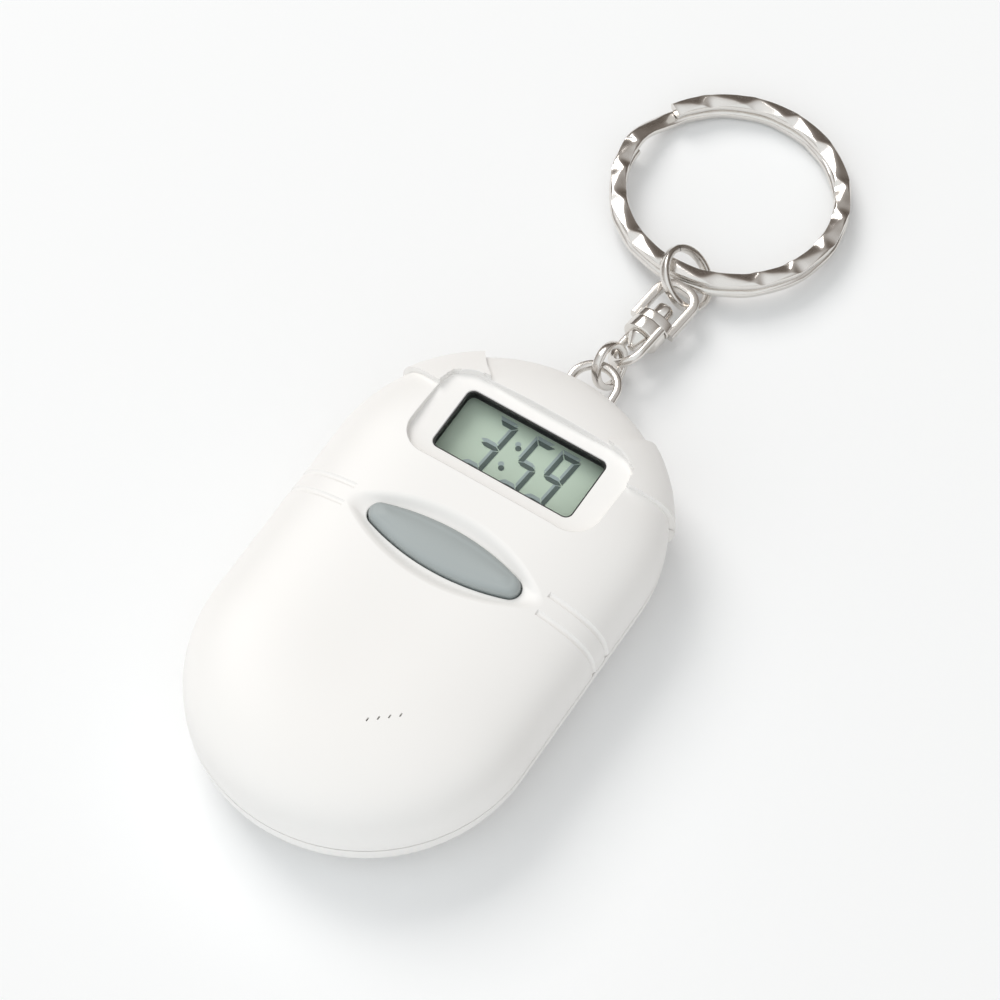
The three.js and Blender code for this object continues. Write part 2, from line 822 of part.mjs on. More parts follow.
function batteryCover() {
  return coverOutline(0)
    .intersect(domedBody(rearSide, 0))
    .subtract(post(screw.shankRadius + fitGap, -overrun, rearDepth, 0, coverScrewY, smallSides))
    .subtract(post(screw.headRadius + fitGap, -overrun, coverScrewSeat, 0, coverScrewY));
}

casing.add(piece('front_shell', geometryOf(frontShell()), whitePlastic));
casing.add(piece('rear_shell', geometryOf(rearShell()), whitePlastic));
casing.add(piece('battery_cover', geometryOf(batteryCover()), whitePlastic));

// Screws, with the head at the back
function screwGeometry(headHeight, length) {
  const tip = headHeight + length;
  return turned([
    [0, 0],
    [screw.headRadius * screwCrownShare, 0],
    [screw.headRadius, headHeight / 2],
    [screw.headRadius, headHeight],
    [screw.shankRadius, headHeight],
    [screw.shankRadius, tip - screw.tipLength],
    [0, tip],
  ], smallSides);
}

for (const [place, [x, y]] of Object.entries(bossPlaces)) {
  const caseScrew = piece(`case_screw_${place}`, screwGeometry(screw.headHeight, screwLength), steel);
  caseScrew.position.set(x, y, screw.seat - screw.headHeight);
  casing.add(caseScrew);
}
const lidScrew = piece('battery_cover_screw', screwGeometry(coverScrew.headHeight, coverScrew.length), steel);
lidScrew.position.set(0, coverScrewY, coverScrew.sink);
casing.add(lidScrew);

// Display
function displayHolder() {
  const glassNear = panel.y - glass.halfHeight - glass.ledge - fitGap;
  const glassFar = panel.y + glass.halfHeight + fitGap;
  const nestY = (glassNear + glassFar) / 2;
  const nestHalfY = (glassFar - glassNear) / 2;
  const shelf = glassBottom - fitGap;
  const throughFar = glassFar - holder.shelf;
  const throughY = (glassNear + throughFar) / 2;
  const throughHalfY = (throughFar - glassNear) / 2;
  const throughHalfX = glass.halfWidth - holder.shelf;
  return prism(box(holderHalfX, holderHalfY, 0, holderY), boardTop + fitGap / 2, panelUnderside - fitGap)
    .subtract(prism(box(glass.halfWidth + fitGap, nestHalfY, 0, nestY), shelf, crown))
    .subtract(prism(box(throughHalfX, throughHalfY, 0, throughY), boardTop - overrun, crown));
}

const paneBody = prism(
  roundedBox(
    windowOpening.halfWidth - fitGap,
    windowOpening.halfHeight - fitGap,
    windowOpening.cornerRadius,
    0,
    panel.y,
  ),
  panelUnderside,
  panelUnderside + pane.thickness,
);
const frontGlassHalfY = glass.halfHeight + glass.ledge / 2;
const frontGlass = prism(
  box(glass.halfWidth, frontGlassHalfY, 0, panel.y - glass.ledge / 2),
  glassMiddle,
  glassTop,
);
const rearGlass = prism(
  box(glass.halfWidth, glass.halfHeight, 0, panel.y),
  glassBottom,
  glassBottom + glass.thickness,
);
const rubberStripBody = prism(
  box(glass.halfWidth - rubberStrip.endMargin, rubberStrip.thickness / 2, 0, panel.y - frontGlassHalfY),
  boardTop + fitGap / 4,
  glassMiddle - fitGap / 4,
);
casing.add(piece('display_window', geometryOf(paneBody), clearPlastic));
casing.add(piece('display_front_glass', geometryOf(frontGlass), displayGlass));
casing.add(piece('display_rear_glass', geometryOf(rearGlass), displayGlass));
casing.add(piece('display_holder', geometryOf(displayHolder()), blackPlastic));
casing.add(piece('display_rubber_strip', geometryOf(rubberStripBody), greyRubber));

// Circuit board and what is soldered or bonded on it
const boardBody = prism(
  roundedBox(holderHalfX, boardHalfY, board.cornerRadius, 0, boardY),
  boardBottom,
  boardTop,
);
casing.add(piece('circuit_board', geometryOf(boardBody), boardGreen));

const chipGeometry = turned([
  [0, 0],
  [chip.radius, 0],
  [chip.radius * chipShoulderShares[0], chip.height * chipShoulderShares[1]],
  [0, chip.height],
]);
const chipBlob = piece('chip_blob', chipGeometry, blackPlastic);
chipBlob.position.set(chip.x, chip.y, boardTop);
casing.add(chipBlob);

const crystalCan = piece('time_crystal', rod(crystal.radius, crystal.length).rotateZ(quarterTurn), steel);
crystalCan.position.set(crystal.x, crystal.y, boardTop + crystal.radius);
casing.add(crystalCan);

const capacitorGeometry = new THREE.BoxGeometry(2 * capacitor.halfX, 2 * capacitor.halfY, capacitor.height);
const capacitorBlock = piece('capacitor', capacitorGeometry, brass);
capacitorBlock.position.set(capacitor.x, capacitor.y, boardTop + capacitor.height / 2);
casing.add(capacitorBlock);

// Talk button and the rubber dome under it
const flangeTipFromRim = caseRadius - wall - button.halfLength - button.flange;
const flangeTop = rearDepth + skinRise(frontSide, -wall, flangeTipFromRim) - fitGap;
const flangeBottom = flangeTop - button.flangeThickness;
const buttonTop = dishFloor + button.rise;

function buttonRing(inset, height) {
  const tip = button.tipRadius * (1 - inset / button.halfHeight);
  return ringOf(lens(button.halfLength - inset, button.halfHeight - inset, tip, button.y), height);
}

function talkButton() {
  const edge = buttonEdgeShares.map(([inward, upward]) => buttonRing(
    button.edgeInset * inward,
    buttonTop - button.edgeHeight * (1 - upward),
  ));
  const body = solid(stack([buttonRing(0, flangeBottom), ...edge]));
  const flangeOutline = lens(
    button.halfLength + button.flange,
    button.halfHeight + button.flange,
    button.tipRadius + button.flange,
    button.y,
  );
  const flange = prism(flangeOutline, flangeBottom, flangeTop);
  return body.add(flange);
}

casing.add(piece('talk_button', geometryOf(talkButton()), greyRubber));

const domeTop = flangeBottom - button.travel - fitGap / 2 - boardTop;
const keyPadBody = piece('talk_button_dome', turned([
  [0, 0],
  [keyPad.footRadius, 0],
  [keyPad.footRadius, keyPad.footHeight],
  [keyPad.skirtRadius, keyPad.footHeight],
  [keyPad.domeRadius, domeTop],
  [0, domeTop],
]), greyRubber);
keyPadBody.position.set(0, button.y, boardTop);
casing.add(keyPadBody);

// Loudspeaker, facing the sound slots
const loudspeaker = new THREE.Group();
loudspeaker.position.set(0, speaker.y, speakerTop - speaker.depth);
casing.add(loudspeaker);

loudspeaker.add(piece('speaker_basket', turned([
  [0, 0],
  [speakerBackRadius, 0],
  [speaker.radius, speaker.depth - speaker.rimHeight],
  [speaker.radius, speaker.depth],
  [speaker.radius - speaker.rimWidth, speaker.depth],
  [speaker.radius - speaker.rimWidth, speaker.depth - speaker.rimHeight + speaker.wall],
  [speakerBackRadius - speaker.wall, speaker.wall],
  [0, speaker.wall],
], ringSteps), steel));

const coneEdge = speaker.radius - speaker.rimWidth - fitGap;
const coneLow = speaker.depth - cone.sink;
loudspeaker.add(piece('speaker_cone', turned([
  [0, coneLow - cone.thickness],
  [cone.capRadius, coneLow - cone.thickness],
  [coneEdge, speaker.depth - cone.thickness],
  [coneEdge, speaker.depth],
  [cone.capRadius, coneLow],
  [0, coneLow + cone.capRise],
], ringSteps), paperCone));

const magnetCan = piece('speaker_magnet', turned([
  [0, 0],
  [magnet.radius, 0],
  [magnet.radius, magnet.height],
  [0, magnet.height],
], ringSteps), steel);
magnetCan.position.set(0, 0, -magnet.height);
loudspeaker.add(magnetCan);

const gasketRing = piece('speaker_gasket', turned([
  [speaker.radius - gasket.width, 0],
  [speaker.radius, 0],
  [speaker.radius, gasket.height],
  [speaker.radius - gasket.width, gasket.height],
  [speaker.radius - gasket.width, 0],
], ringSteps), foam);
gasketRing.position.set(0, 0, speaker.depth);
loudspeaker.add(gasketRing);

// Two button cells between the link plate on the cover and the contacts under the board
const cellTop = cellBottom + cell.height;
const linkPlate = prism(
  box(cell.spacing / 2 + contact.tabHalfWidth, contact.halfWidth, 0, cell.y),
  bridgeBottom,
  bridgeBottom + contact.thickness,
);
casing.add(piece('battery_link_plate', geometryOf(linkPlate), brass));
for (const [place, side] of [['left', -1], ['right', 1]]) {
  const cellBody = piece(`button_cell_${place}`, turned([
    [0, 0],
    [cell.radius, 0],
    [cell.radius, cell.height - cell.stepHeight],
    [cell.radius - cell.stepInset, cell.height - cell.stepHeight / 2],
    [cell.radius - cell.stepInset, cell.height],
    [0, cell.height],
  ], ringSteps), steel);
  cellBody.position.set(side * cell.spacing / 2, cell.y, cellBottom);
  casing.add(cellBody);
  const leaf = prism(
    box(contact.tabHalfWidth, contact.halfWidth, side * cell.spacing / 2, cell.y),
    cellTop + fitGap / 2,
    cellTop + fitGap / 2 + contact.thickness,
  );
  casing.add(piece(`battery_contact_${place}`, geometryOf(leaf), brass));
}

// Setting keys, sunk in the back, and the switches that they press
const keyStemTop = boardBottom - setSwitch.height - setKey.travel - fitGap / 2;
for (const [place, side] of [['left', -1], ['right', 1]]) {
  const key = piece(`set_key_${place}`, turned([
    [0, setKey.sink],
    [setKey.radius, setKey.sink],
    [setKey.radius, rearFloor + fitGap],
    [setKey.radius + setKey.flange, rearFloor + fitGap],
    [setKey.radius + setKey.flange, rearFloor + fitGap + setKey.flangeHeight],
    [setKey.stemRadius, rearFloor + fitGap + setKey.flangeHeight],
    [setKey.stemRadius, keyStemTop],
    [0, keyStemTop],
  ], smallSides), greyRubber);
  key.position.set(side * setKey.x, setKeyY, 0);
  casing.add(key);
  const switchGeometry = rod(setSwitch.radius, setSwitch.height).rotateX(quarterTurn);
  const setSwitchCan = piece(`set_switch_${place}`, switchGeometry, steel);
  setSwitchCan.position.set(side * setKey.x, setKeyY, boardBottom - setSwitch.height / 2);
  casing.add(setSwitchCan);
}

// Post in the pocket of the far end
const postBottom = pocket.bottom - ringPost.seatDepth;
const ringPostPin = piece('ring_post', rod(ringPost.radius, ringPost.length).rotateX(quarterTurn), steel);
ringPostPin.position.set(0, ringPostY, postBottom + ringPost.length / 2);
casing.add(ringPostPin);

// Rings and links of flattened wire, each flat in its own XY plane
function wireLoop(path, wire) {
  return loopGeometry(sweptPoints(path, wire.wireWidth / 2, wire.wireHeight / 2, wireSectionShares));
}

// Turns a group so that its Z axis leans by an angle from upright towards a heading
function lean(group, tilt) {
  group.rotation.set(0, tilt.lean, tilt.heading, 'ZYX');
}

const firstLinkNear = ringPost.radius + turningGap + firstLink.wireWidth / 2;
const firstLinkHalfLength = (firstLink.reach + firstLinkNear) / 2;
const firstGroup = new THREE.Group();
firstGroup.position.set(0, ringPostY, firstLink.height);
firstGroup.rotation.z = firstLink.turn;
model.add(firstGroup);
const firstLinkPath = ovalPath(firstLink.halfWidth, firstLinkHalfLength, linkSteps);
const firstLinkBody = piece('chain_link_1', wireLoop(firstLinkPath, firstLink), nickel);
firstLinkBody.position.y = firstLinkHalfLength - firstLinkNear;
firstGroup.add(firstLinkBody);

const secondGroup = new THREE.Group();
secondGroup.position.set(secondLink.x, secondLinkY, secondLink.height);
lean(secondGroup, secondLinkTilt);
secondGroup.add(piece('chain_link_2', wireLoop(roundPath(secondLink.radius, ringSteps), secondLink), nickel));
model.add(secondGroup);

// Swivel: its own Y axis runs along the chain, from the lower bail's bow to the upper bail's
const swivelGroup = new THREE.Group();
swivelGroup.position.set(swivel.x, swivelY, swivel.height);
swivelGroup.rotation.z = swivel.turn;
model.add(swivelGroup);

const rodSectionShares = Array.from({ length: rodSides }, (_, side) => {
  const angle = fullTurn * side / rodSides;
  return [Math.cos(angle), Math.sin(angle)];
});

function bow(halfWidth, bendRadius, legLength, wire, shares) {
  const path = bowPath(halfWidth, bendRadius, legLength, bendSteps);
  return solid(rodGeometry(sweptPoints(path, wire / 2, wire / 2, shares)));
}

function drumAlongY(radius, from, to, sides = roundSides) {
  const geometry = new THREE.CylinderGeometry(radius, radius, to - from, sides);
  return solid(geometry.translate(0, (from + to) / 2, 0));
}

function rivetHole(from, to) {
  return drumAlongY(rivet.shankRadius + turningGap, from - overrun, to + overrun, smallSides);
}

const lowerBow = bow(
  lowerBail.halfWidth,
  lowerBail.halfWidth,
  (lowerBail.drumNear + lowerBail.drumFar) / 2,
  lowerBail.rod,
  rodSectionShares,
);
const lowerBailBody = lowerBow
  .add(drumAlongY(lowerBail.drumRadius, lowerBail.drumNear, lowerBail.drumFar))
  .subtract(rivetHole(lowerBail.drumNear, lowerBail.drumFar));
const lowerBailPiece = piece('swivel_lower_bail', geometryOf(lowerBailBody), nickel);
lowerBailPiece.rotation.y = swivel.roll;
swivelGroup.add(lowerBailPiece);

const headFar = lowerBail.drumNear - turningGap;
const knobNear = strapFar + turningGap;
const rivetGeometry = turned([
  [0, headFar - rivet.headLength],
  [rivet.tailRadius, headFar - rivet.headLength],
  [rivet.headRadius, headFar],
  [rivet.shankRadius, headFar],
  [rivet.shankRadius, knobNear],
  [rivet.knobRadius, knobNear],
  [rivet.knobRadius, knobNear + rivet.knobLength - rivet.knobRadius / 2],
  [rivet.knobRadius / 2, knobNear + rivet.knobLength],
  [0, knobNear + rivet.knobLength],
]);
swivelGroup.add(piece('swivel_rivet', rivetGeometry.rotateX(-quarterTurn), nickel));

const upperBow = geometryOf(bow(
  upperBail.halfWidth,
  upperBail.bendRadius,
  upperBail.length - upperBail.strapWidth / 2,
  upperBail.rod,
  wireSectionShares,
));
const strapGeometry = new THREE.BoxGeometry(
  2 * upperBail.halfWidth + upperBail.rod,
  upperBail.strapWidth,
  upperBail.strapHeight,
);
const upperBailBody = solid(upperBow.rotateZ(halfTurn).translate(0, bailFar, 0))
  .add(solid(strapGeometry.translate(0, (strapNear + strapFar) / 2, 0)))
  .subtract(rivetHole(strapNear, strapFar));
swivelGroup.add(piece('swivel_upper_bail', geometryOf(upperBailBody), nickel));

// Jump ring: one wire whose ends butt together
const slitCut = new THREE.BoxGeometry(2 * jumpRing.wireWidth, jumpRing.slit, 2 * jumpRing.wireHeight)
  .translate(jumpRing.radius, 0, 0)
  .rotateZ(jumpRing.slitAngle);
const wholeJumpRing = solid(wireLoop(roundPath(jumpRing.radius, ringSteps), jumpRing));
const jumpRingBody = wholeJumpRing.subtract(solid(slitCut));
const jumpGroup = new THREE.Group();
jumpGroup.position.set(jumpRing.x, jumpRingY, jumpRing.height);
lean(jumpGroup, jumpRingTilt);
jumpGroup.add(piece('jump_ring', geometryOf(jumpRingBody), nickel));
model.add(jumpGroup);

// Split ring: a wire wound twice round, one turn over the other, that steps down between its own ends
function splitRingPath() {
  const pitch = splitRing.wireHeight + splitRing.turnGap;
  const levelTurn = fullTurn - splitJog;
  const whole = 2 * levelTurn + splitJog;
  const steps = Math.round(ringSteps * whole / fullTurn);
  const path = [];
  for (let step = 0; step <= steps; step++) {
    const along = whole * step / steps;
    const dropShare = Math.min(1, Math.max(0, (along - levelTurn) / splitJog));
    const angle = splitTopEnd - along;
    const out = new THREE.Vector2(Math.cos(angle), Math.sin(angle));
    const z = pitch / 2 - pitch * dropShare;
    path.push({ x: splitRing.radius * out.x, y: splitRing.radius * out.y, z, out });
  }
  return path;
}

// Least distance between points of sections that lie at least half a turn apart along the wire
function leastGap(sections) {
  const apart = ringSteps / 2;
  let least = Infinity;
  for (let at = 0; at < sections.length; at++) {
    for (let other = at + apart; other < sections.length; other++) {
      for (const point of sections[at]) {
        for (const facing of sections[other]) {
          least = Math.min(least, point.distanceTo(facing));
        }
      }
    }
  }
  return least;
}

const splitSections = sweptPoints(
  splitRingPath(),
  splitRing.wireWidth / 2,
  splitRing.wireHeight / 2,
  splitSectionShares,
);
console.log(`split ring, least gap between its turns: ${leastGap(splitSections).toFixed(3)} mm`);
const splitHalfHeight = splitRing.wireHeight + splitRing.turnGap / 2;
const splitOuterRadius = splitRing.radius + splitRing.wireWidth / 2;
const splitGroup = new THREE.Group();
splitGroup.position.set(
  splitRing.x,
  splitRingY,
  splitHalfHeight * Math.cos(splitRingTilt) + splitOuterRadius * Math.sin(splitRingTilt),
);
splitGroup.rotation.x = -splitRingTilt;
splitGroup.add(piece('split_ring', rodGeometry(splitSections), nickel));
model.add(splitGroup);

export default model;
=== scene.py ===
"""Looks of the talking clock keychain: casing, display, talk button, chain and split ring, in a studio."""

import math

import bpy
import numpy as np
from mathutils import Matrix, Vector


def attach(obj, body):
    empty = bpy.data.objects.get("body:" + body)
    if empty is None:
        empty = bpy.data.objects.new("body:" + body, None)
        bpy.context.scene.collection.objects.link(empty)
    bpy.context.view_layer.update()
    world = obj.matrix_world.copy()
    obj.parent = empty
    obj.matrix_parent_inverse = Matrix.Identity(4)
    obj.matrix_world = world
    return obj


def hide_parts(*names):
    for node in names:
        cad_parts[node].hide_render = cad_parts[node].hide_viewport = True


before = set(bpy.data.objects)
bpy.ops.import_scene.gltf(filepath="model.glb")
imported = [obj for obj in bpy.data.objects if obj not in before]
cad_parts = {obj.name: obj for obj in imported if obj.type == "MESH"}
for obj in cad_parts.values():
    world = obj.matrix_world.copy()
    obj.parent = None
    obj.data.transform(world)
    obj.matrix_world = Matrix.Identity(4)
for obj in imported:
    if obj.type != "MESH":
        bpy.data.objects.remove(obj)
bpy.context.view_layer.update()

# Lengths are in millimetres until a mesh is made.
# The origin is the middle of the flat back, with +Y towards the split ring.
MM = 0.001

# Casing
CASE_RADIUS = 19.75
END_CENTRE = 11.95
SEAM = 7.0
SEAM_HALF_GAP = 0.09
WALL = 1.6
FRONT = {"up": 1, "rise": 7.4, "reach": 17.0, "power": 2.85}
REAR = {"up": -1, "rise": 7.0, "reach": 13.0, "power": 2.5}
CROWN = SEAM + FRONT["rise"]
TONGUE_OUTER = 18.85
TONGUE_INNER = 17.45
TONGUE_LOW = 5.2
TONGUE_TOP = 7.9
FIT = 0.2
FAR_ABOVE = 18.0
FAR_BELOW = -2.0
BESIDE = 5.0
LIP_SWEEP_SHARE = 0.92
LIP_WIDE_SHARE = 1.02
LIP_RUN_SHARE = 1.6
OVERRUN = 1.0
LEAST_WALL = 0.02
AXIS_RADIUS = 0.02

# Panel, window and display
PANEL = {"y": 18.05, "half_x": 12.05, "half_y": 6.0, "corner": 3.3, "top": 12.9, "lip": 0.2}
WINDOW = {"y": 18.2, "half_x": 8.95, "half_y": 4.2, "corner": 0.9, "lip": 0.12}
PANEL_UNDERSIDE = 11.7
PANE_TOP = 12.3
LINING_TOP = 12.72
LINING_BOTTOM = 11.55
LINING_GAP = 0.02
LINING_INSET = 0.17
LINING_CORNER = 0.78
PANE_CORNER = 0.8
TOP_GLASS_LOW = LINING_BOTTOM - 0.1
TOP_GLASS_HIGH = LINING_BOTTOM - 0.03
REFLECTOR_TOP = 10.35
REFLECTOR_BOTTOM = 9.9
# Plane of the dark figures, which are the segments' shadow on the reflector painted in; the lighter ghost
# figures lie just under it, moved by a shift.
SEGMENT_SHADOW_PLANE = 10.39
GHOST_PLANE = 10.36
GHOST_SHIFT = (-0.28, 0.45)
DISPLAY_HALF_X = 10.2
DISPLAY_HALF_Y = 5.2
TOP_GLASS_HALF_X = 9.4
TOP_GLASS_HALF_Y = 4.7

# Talk button in its dish
BUTTON = {"y": 3.15, "half_x": 9.5, "half_y": 2.6, "tip": 1.2, "side_top": 14.0, "top": 14.9}
DISH = {
    "floor": 13.6, "inner_x": 9.9, "inner_y": 3.0, "inner_tip": 1.2, "outer_x": 12.7, "outer_y": 4.75,
    "outer_tip": 0.9,
}
BUTTON_FLANGE = 0.9
BUTTON_FLANGE_TOP = 12.3
BUTTON_FLANGE_BOTTOM = 11.7

# Ears, grooves and sound slots
EAR_RISE = 0.7
GROOVE_PLACES = [4.65, 2.15]
GROOVE_FROM = 12.35
GROOVE_RIM_RUN = 1.2
GROOVE_SECTION = np.array([
    (0.5, 0.35), (-0.5, 0.35), (-0.4, 0.04), (-0.32, -0.05), (-0.21, -0.15), (-0.07, -0.2),
    (0.07, -0.2), (0.21, -0.15), (0.32, -0.05), (0.4, 0.04),
])
SLOT_MIDDLE = (5.8, -17.35)
SLOT_SPACING = 1.18
SLOT_TURN = 0.72
SLOT_COUNT = 4
SLOT_RADIUS = 0.09
SLOT_HALF_STRAIGHT = 0.17
SLOT_DEPTH = 3.4


# Points and faces, worked out as whole arrays
def ring_faces(rows, columns, closed_rows=False):
    """Quads of a grid of points: each row is a closed ring, and the rows may close on themselves too."""
    row = np.arange(rows if closed_rows else rows - 1)[:, None]
    column = np.arange(columns)[None, :]
    next_row = (row + 1) % rows
    next_column = (column + 1) % columns
    corners = [row * columns + column, row * columns + next_column, next_row * columns + next_column]
    corners.append(next_row * columns + column)
    return np.stack(corners, axis=-1).reshape(-1, 4)


def fan_faces(first, count, tip, turned_over):
    """Triangles from each edge of one ring to a point that closes it."""
    near = first + np.arange(count)
    far = first + (np.arange(count) + 1) % count
    order = [far, near, np.full(count, tip)] if turned_over else [near, far, np.full(count, tip)]
    return np.stack(order, axis=-1)


def lofted(rings):
    """Closed body through rings of equal count, listed from the lowest up, each counterclockwise from above.
    A point at the middle of the first and of the last ring closes the two ends. A body is its points and its
    groups of faces."""
    rings = np.asarray(rings, float)
    rows, columns = rings.shape[:2]
    points = np.vstack([rings.reshape(-1, 3), rings[0].mean(axis=0), rings[-1].mean(axis=0)])
    low = fan_faces(0, columns, rows * columns, True)
    high = fan_faces((rows - 1) * columns, columns, rows * columns + 1, False)
    return points, [ring_faces(rows, columns), low, high]


def carried(path, outward, upward, section, closed):
    """Body of a profile carried along a path: point (i, j) is path[i] + section[i, j, 0] * outward[i]
    + section[i, j, 1] * upward[i]. It closes on itself, or with a point at the middle of each end."""
    section = np.broadcast_to(section, (len(path),) + section.shape[-2:])
    rings = path[:, None] + section[..., :1] * outward[:, None] + section[..., 1:] * upward[:, None]
    if closed:
        return rings.reshape(-1, 3), [ring_faces(*rings.shape[:2], closed_rows=True)]
    return lofted(rings)


def turned_about_z(profile, x, y, count):
    """Body of a profile of radius and height, listed from the lowest up, turned round an upright axis."""
    profile = np.asarray(profile, float)
    angle = 2 * math.pi * np.arange(count) / count
    across = x + profile[:, :1] * np.cos(angle)
    along = y + profile[:, :1] * np.sin(angle)
    height = np.broadcast_to(profile[:, 1:], across.shape)
    return lofted(np.stack([across, along, height], axis=-1))


def at_height(outline, height):
    """Ring of 3-D points from a flat outline at one height, or at a height for each point."""
    return np.column_stack([outline, np.broadcast_to(height, len(outline))])


def evenly(outline, count):
    """A closed outline resampled to points an equal length apart."""
    closed = np.vstack([outline, outline[:1]])
    along = np.concatenate([[0], np.cumsum(np.linalg.norm(np.diff(closed, axis=0), axis=1))])
    places = np.linspace(0, along[-1], count, endpoint=False)
    return np.column_stack([np.interp(places, along, closed[:, axis]) for axis in (0, 1)])


def outward_of(outline):
    """Outward direction at each point of a counterclockwise outline, square to its neighbours' chord."""
    chord = np.roll(outline, -1, axis=0) - np.roll(outline, 1, axis=0)
    chord /= np.linalg.norm(chord, axis=1)[:, None]
    return np.column_stack([chord[:, 1], -chord[:, 0]])


def arc(centre, radius, start, end, count):
    """Points on part of a circle, without its last one."""
    angles = start + (end - start) * np.arange(count) / count
    return np.column_stack([centre[0] + radius * np.cos(angles), centre[1] + radius * np.sin(angles)])


def rounded_box(half_x, half_y, corner, y, count=240):
    """Rectangle with four quarter circles as corners, evenly sampled."""
    pieces = []
    for turn, (right, up) in enumerate([(1, 1), (-1, 1), (-1, -1), (1, -1)]):
        centre = (right * (half_x - corner), y + up * (half_y - corner))
        last = (turn + 1) * math.pi / 2
        pieces.append(arc(centre, corner, turn * math.pi / 2, last, 24))
        pieces.append(np.array([[centre[0] + corner * math.cos(last), centre[1] + corner * math.sin(last)]]))
    return evenly(np.vstack(pieces), count)


def lens(half_x, half_y, tip, y, count=240):
    """Eye-shaped outline: two long arcs that run tangent into round tips."""
    tip_x = half_x - tip
    sag = half_y - tip
    core = (tip_x * tip_x + sag * sag) / (2 * sag)
    reach = math.asin(tip_x / core)
    quarter = math.pi / 2
    pieces = [
        arc((0, y - core + sag), core + tip, quarter - reach, quarter + reach, 90),
        arc((-tip_x, y), tip, quarter + reach, 3 * quarter - reach, 30),
        arc((0, y + core - sag), core + tip, 3 * quarter - reach, 3 * quarter + reach, 90),
        arc((tip_x, y), tip, 3 * quarter + reach, 5 * quarter - reach, 30),
    ]
    return evenly(np.vstack(pieces), count)


def circle(x, y, radius, count=48):
    """Circle as a closed outline."""
    return arc((x, y), radius, 0, 2 * math.pi, count)


def prism(outline, low, high):
    """Body of one outline between two heights."""
    return lofted([at_height(outline, low), at_height(outline, high)])


def stadium(end_count=112, side_count=28):
    """Middle line and outward direction of the casing's outline: two half circles and two straights.
    The outline at a radius is the middle line plus the radius times the direction."""
    half = math.pi * np.arange(end_count) / end_count
    share = np.arange(side_count) / side_count
    centres = []
    directions = []
    for end in (1, -1):
        angles = half + (0 if end > 0 else math.pi)
        centres.append(np.column_stack([np.zeros(end_count), np.full(end_count, end * END_CENTRE)]))
        directions.append(np.column_stack([np.cos(angles), np.sin(angles)]))
        centres.append(np.column_stack([np.zeros(side_count), end * END_CENTRE * (1 - 2 * share)]))
        directions.append(np.column_stack([np.full(side_count, -float(end)), np.zeros(side_count)]))
    return np.vstack(centres), np.vstack(directions)


def dome_profile(side, grow, raised, count):
    """Quarter superellipse as insets from the rim and heights over the seam, at equal lengths along it:
    inset = reach * (1 - cos(a) ** (2 / power)), height = rise * sin(a) ** (2 / power)."""
    angle = np.linspace(0, math.pi / 2, 6000)
    inset = (side["reach"] + grow) * (1 - np.cos(angle) ** (2 / side["power"]))
    height = (side["rise"] + raised) * np.sin(angle) ** (2 / side["power"])
    along = np.concatenate([[0], np.cumsum(np.hypot(np.diff(inset), np.diff(height)))])
    places = np.linspace(0, along[-1], count)
    return np.interp(places, along, inset), np.interp(places, along, height)


def domed_body(side, grow=0.0, raised=0.0, count=54, rings_inside=3):
    """One half of the casing as a closed body: the dome profile carried round the stadium outline."""
    centres, directions = stadium()
    insets, heights = dome_profile(side, grow, raised, count)
    radii = CASE_RADIUS + grow - insets
    inner = radii[-1] * (1 - np.arange(1, rings_inside + 1) / (rings_inside + 0.02))
    radii = np.concatenate([radii, inner])
    heights = np.concatenate([heights, np.full(rings_inside, heights[-1])])
    rings = []
    for radius, height in zip(radii, heights):
        rings.append(at_height(centres + radius * directions, SEAM + side["up"] * height))
    return lofted(rings if side["up"] > 0 else rings[::-1])


def stadium_prism(radius, low, high):
    """Body of the casing's outline at a radius between two heights."""
    centres, directions = stadium()
    return prism(centres + radius * directions, low, high)


def from_axis(x, y):
    """Distance from the casing's middle line, and the direction away from it."""
    beyond = y - np.clip(y, -END_CENTRE, END_CENTRE)
    distance = np.maximum(np.hypot(x, beyond), 1e-9)
    return distance, np.stack([x / distance, beyond / distance], axis=-1)


def dome_height(side, x, y, grow=0.0, raised=0.0):
    """Height of a dome over the seam: rise * (1 - (1 - inset / reach) ** power) ** (1 / power)."""
    distance = from_axis(x, y)[0]
    share = np.clip(1 - (CASE_RADIUS + grow - distance) / (side["reach"] + grow), 0, 1)
    return (side["rise"] + raised) * (1 - share ** side["power"]) ** (1 / side["power"])


def skin_height(x, y):
    """Height of the front skin, with the ears, above the back."""
    plain = dome_height(FRONT, x, y)
    raised = dome_height(FRONT, x, y, EAR_RISE, EAR_RISE)
    return SEAM + np.where(inside(ear_outline(), np.abs(x), y), raised, plain)


def inside(outline, x, y):
    """Whether points lie in a closed outline, from the number of its edges that a ray along +X crosses."""
    start = outline[:, None, :]
    end = np.roll(outline, -1, axis=0)[:, None, :]
    spans = (start[..., 1] > y) != (end[..., 1] > y)
    run = end - start
    slope = run[..., 0] / np.where(run[..., 1] == 0, 1, run[..., 1])
    crossing = start[..., 0] + (y - start[..., 1]) * slope
    return (spans & (x < crossing)).sum(axis=0) % 2 == 1


def smooth_path(knots, count):
    """Curve through knots: a cubic Hermite run whose tangents are half the chord between the neighbours."""
    knots = np.asarray(knots, float)
    tangents = np.gradient(knots, axis=0)
    at = np.linspace(0, len(knots) - 1, count)
    first = np.minimum(at.astype(int), len(knots) - 2)
    t = (at - first)[:, None]
    a, b, u, v = knots[first], knots[first + 1], tangents[first], tangents[first + 1]
    curve = (2 * t**3 - 3 * t**2 + 1) * a + (t**3 - 2 * t**2 + t) * u
    curve = curve + (3 * t**2 - 2 * t**3) * b
    return curve + (t**3 - t**2) * v


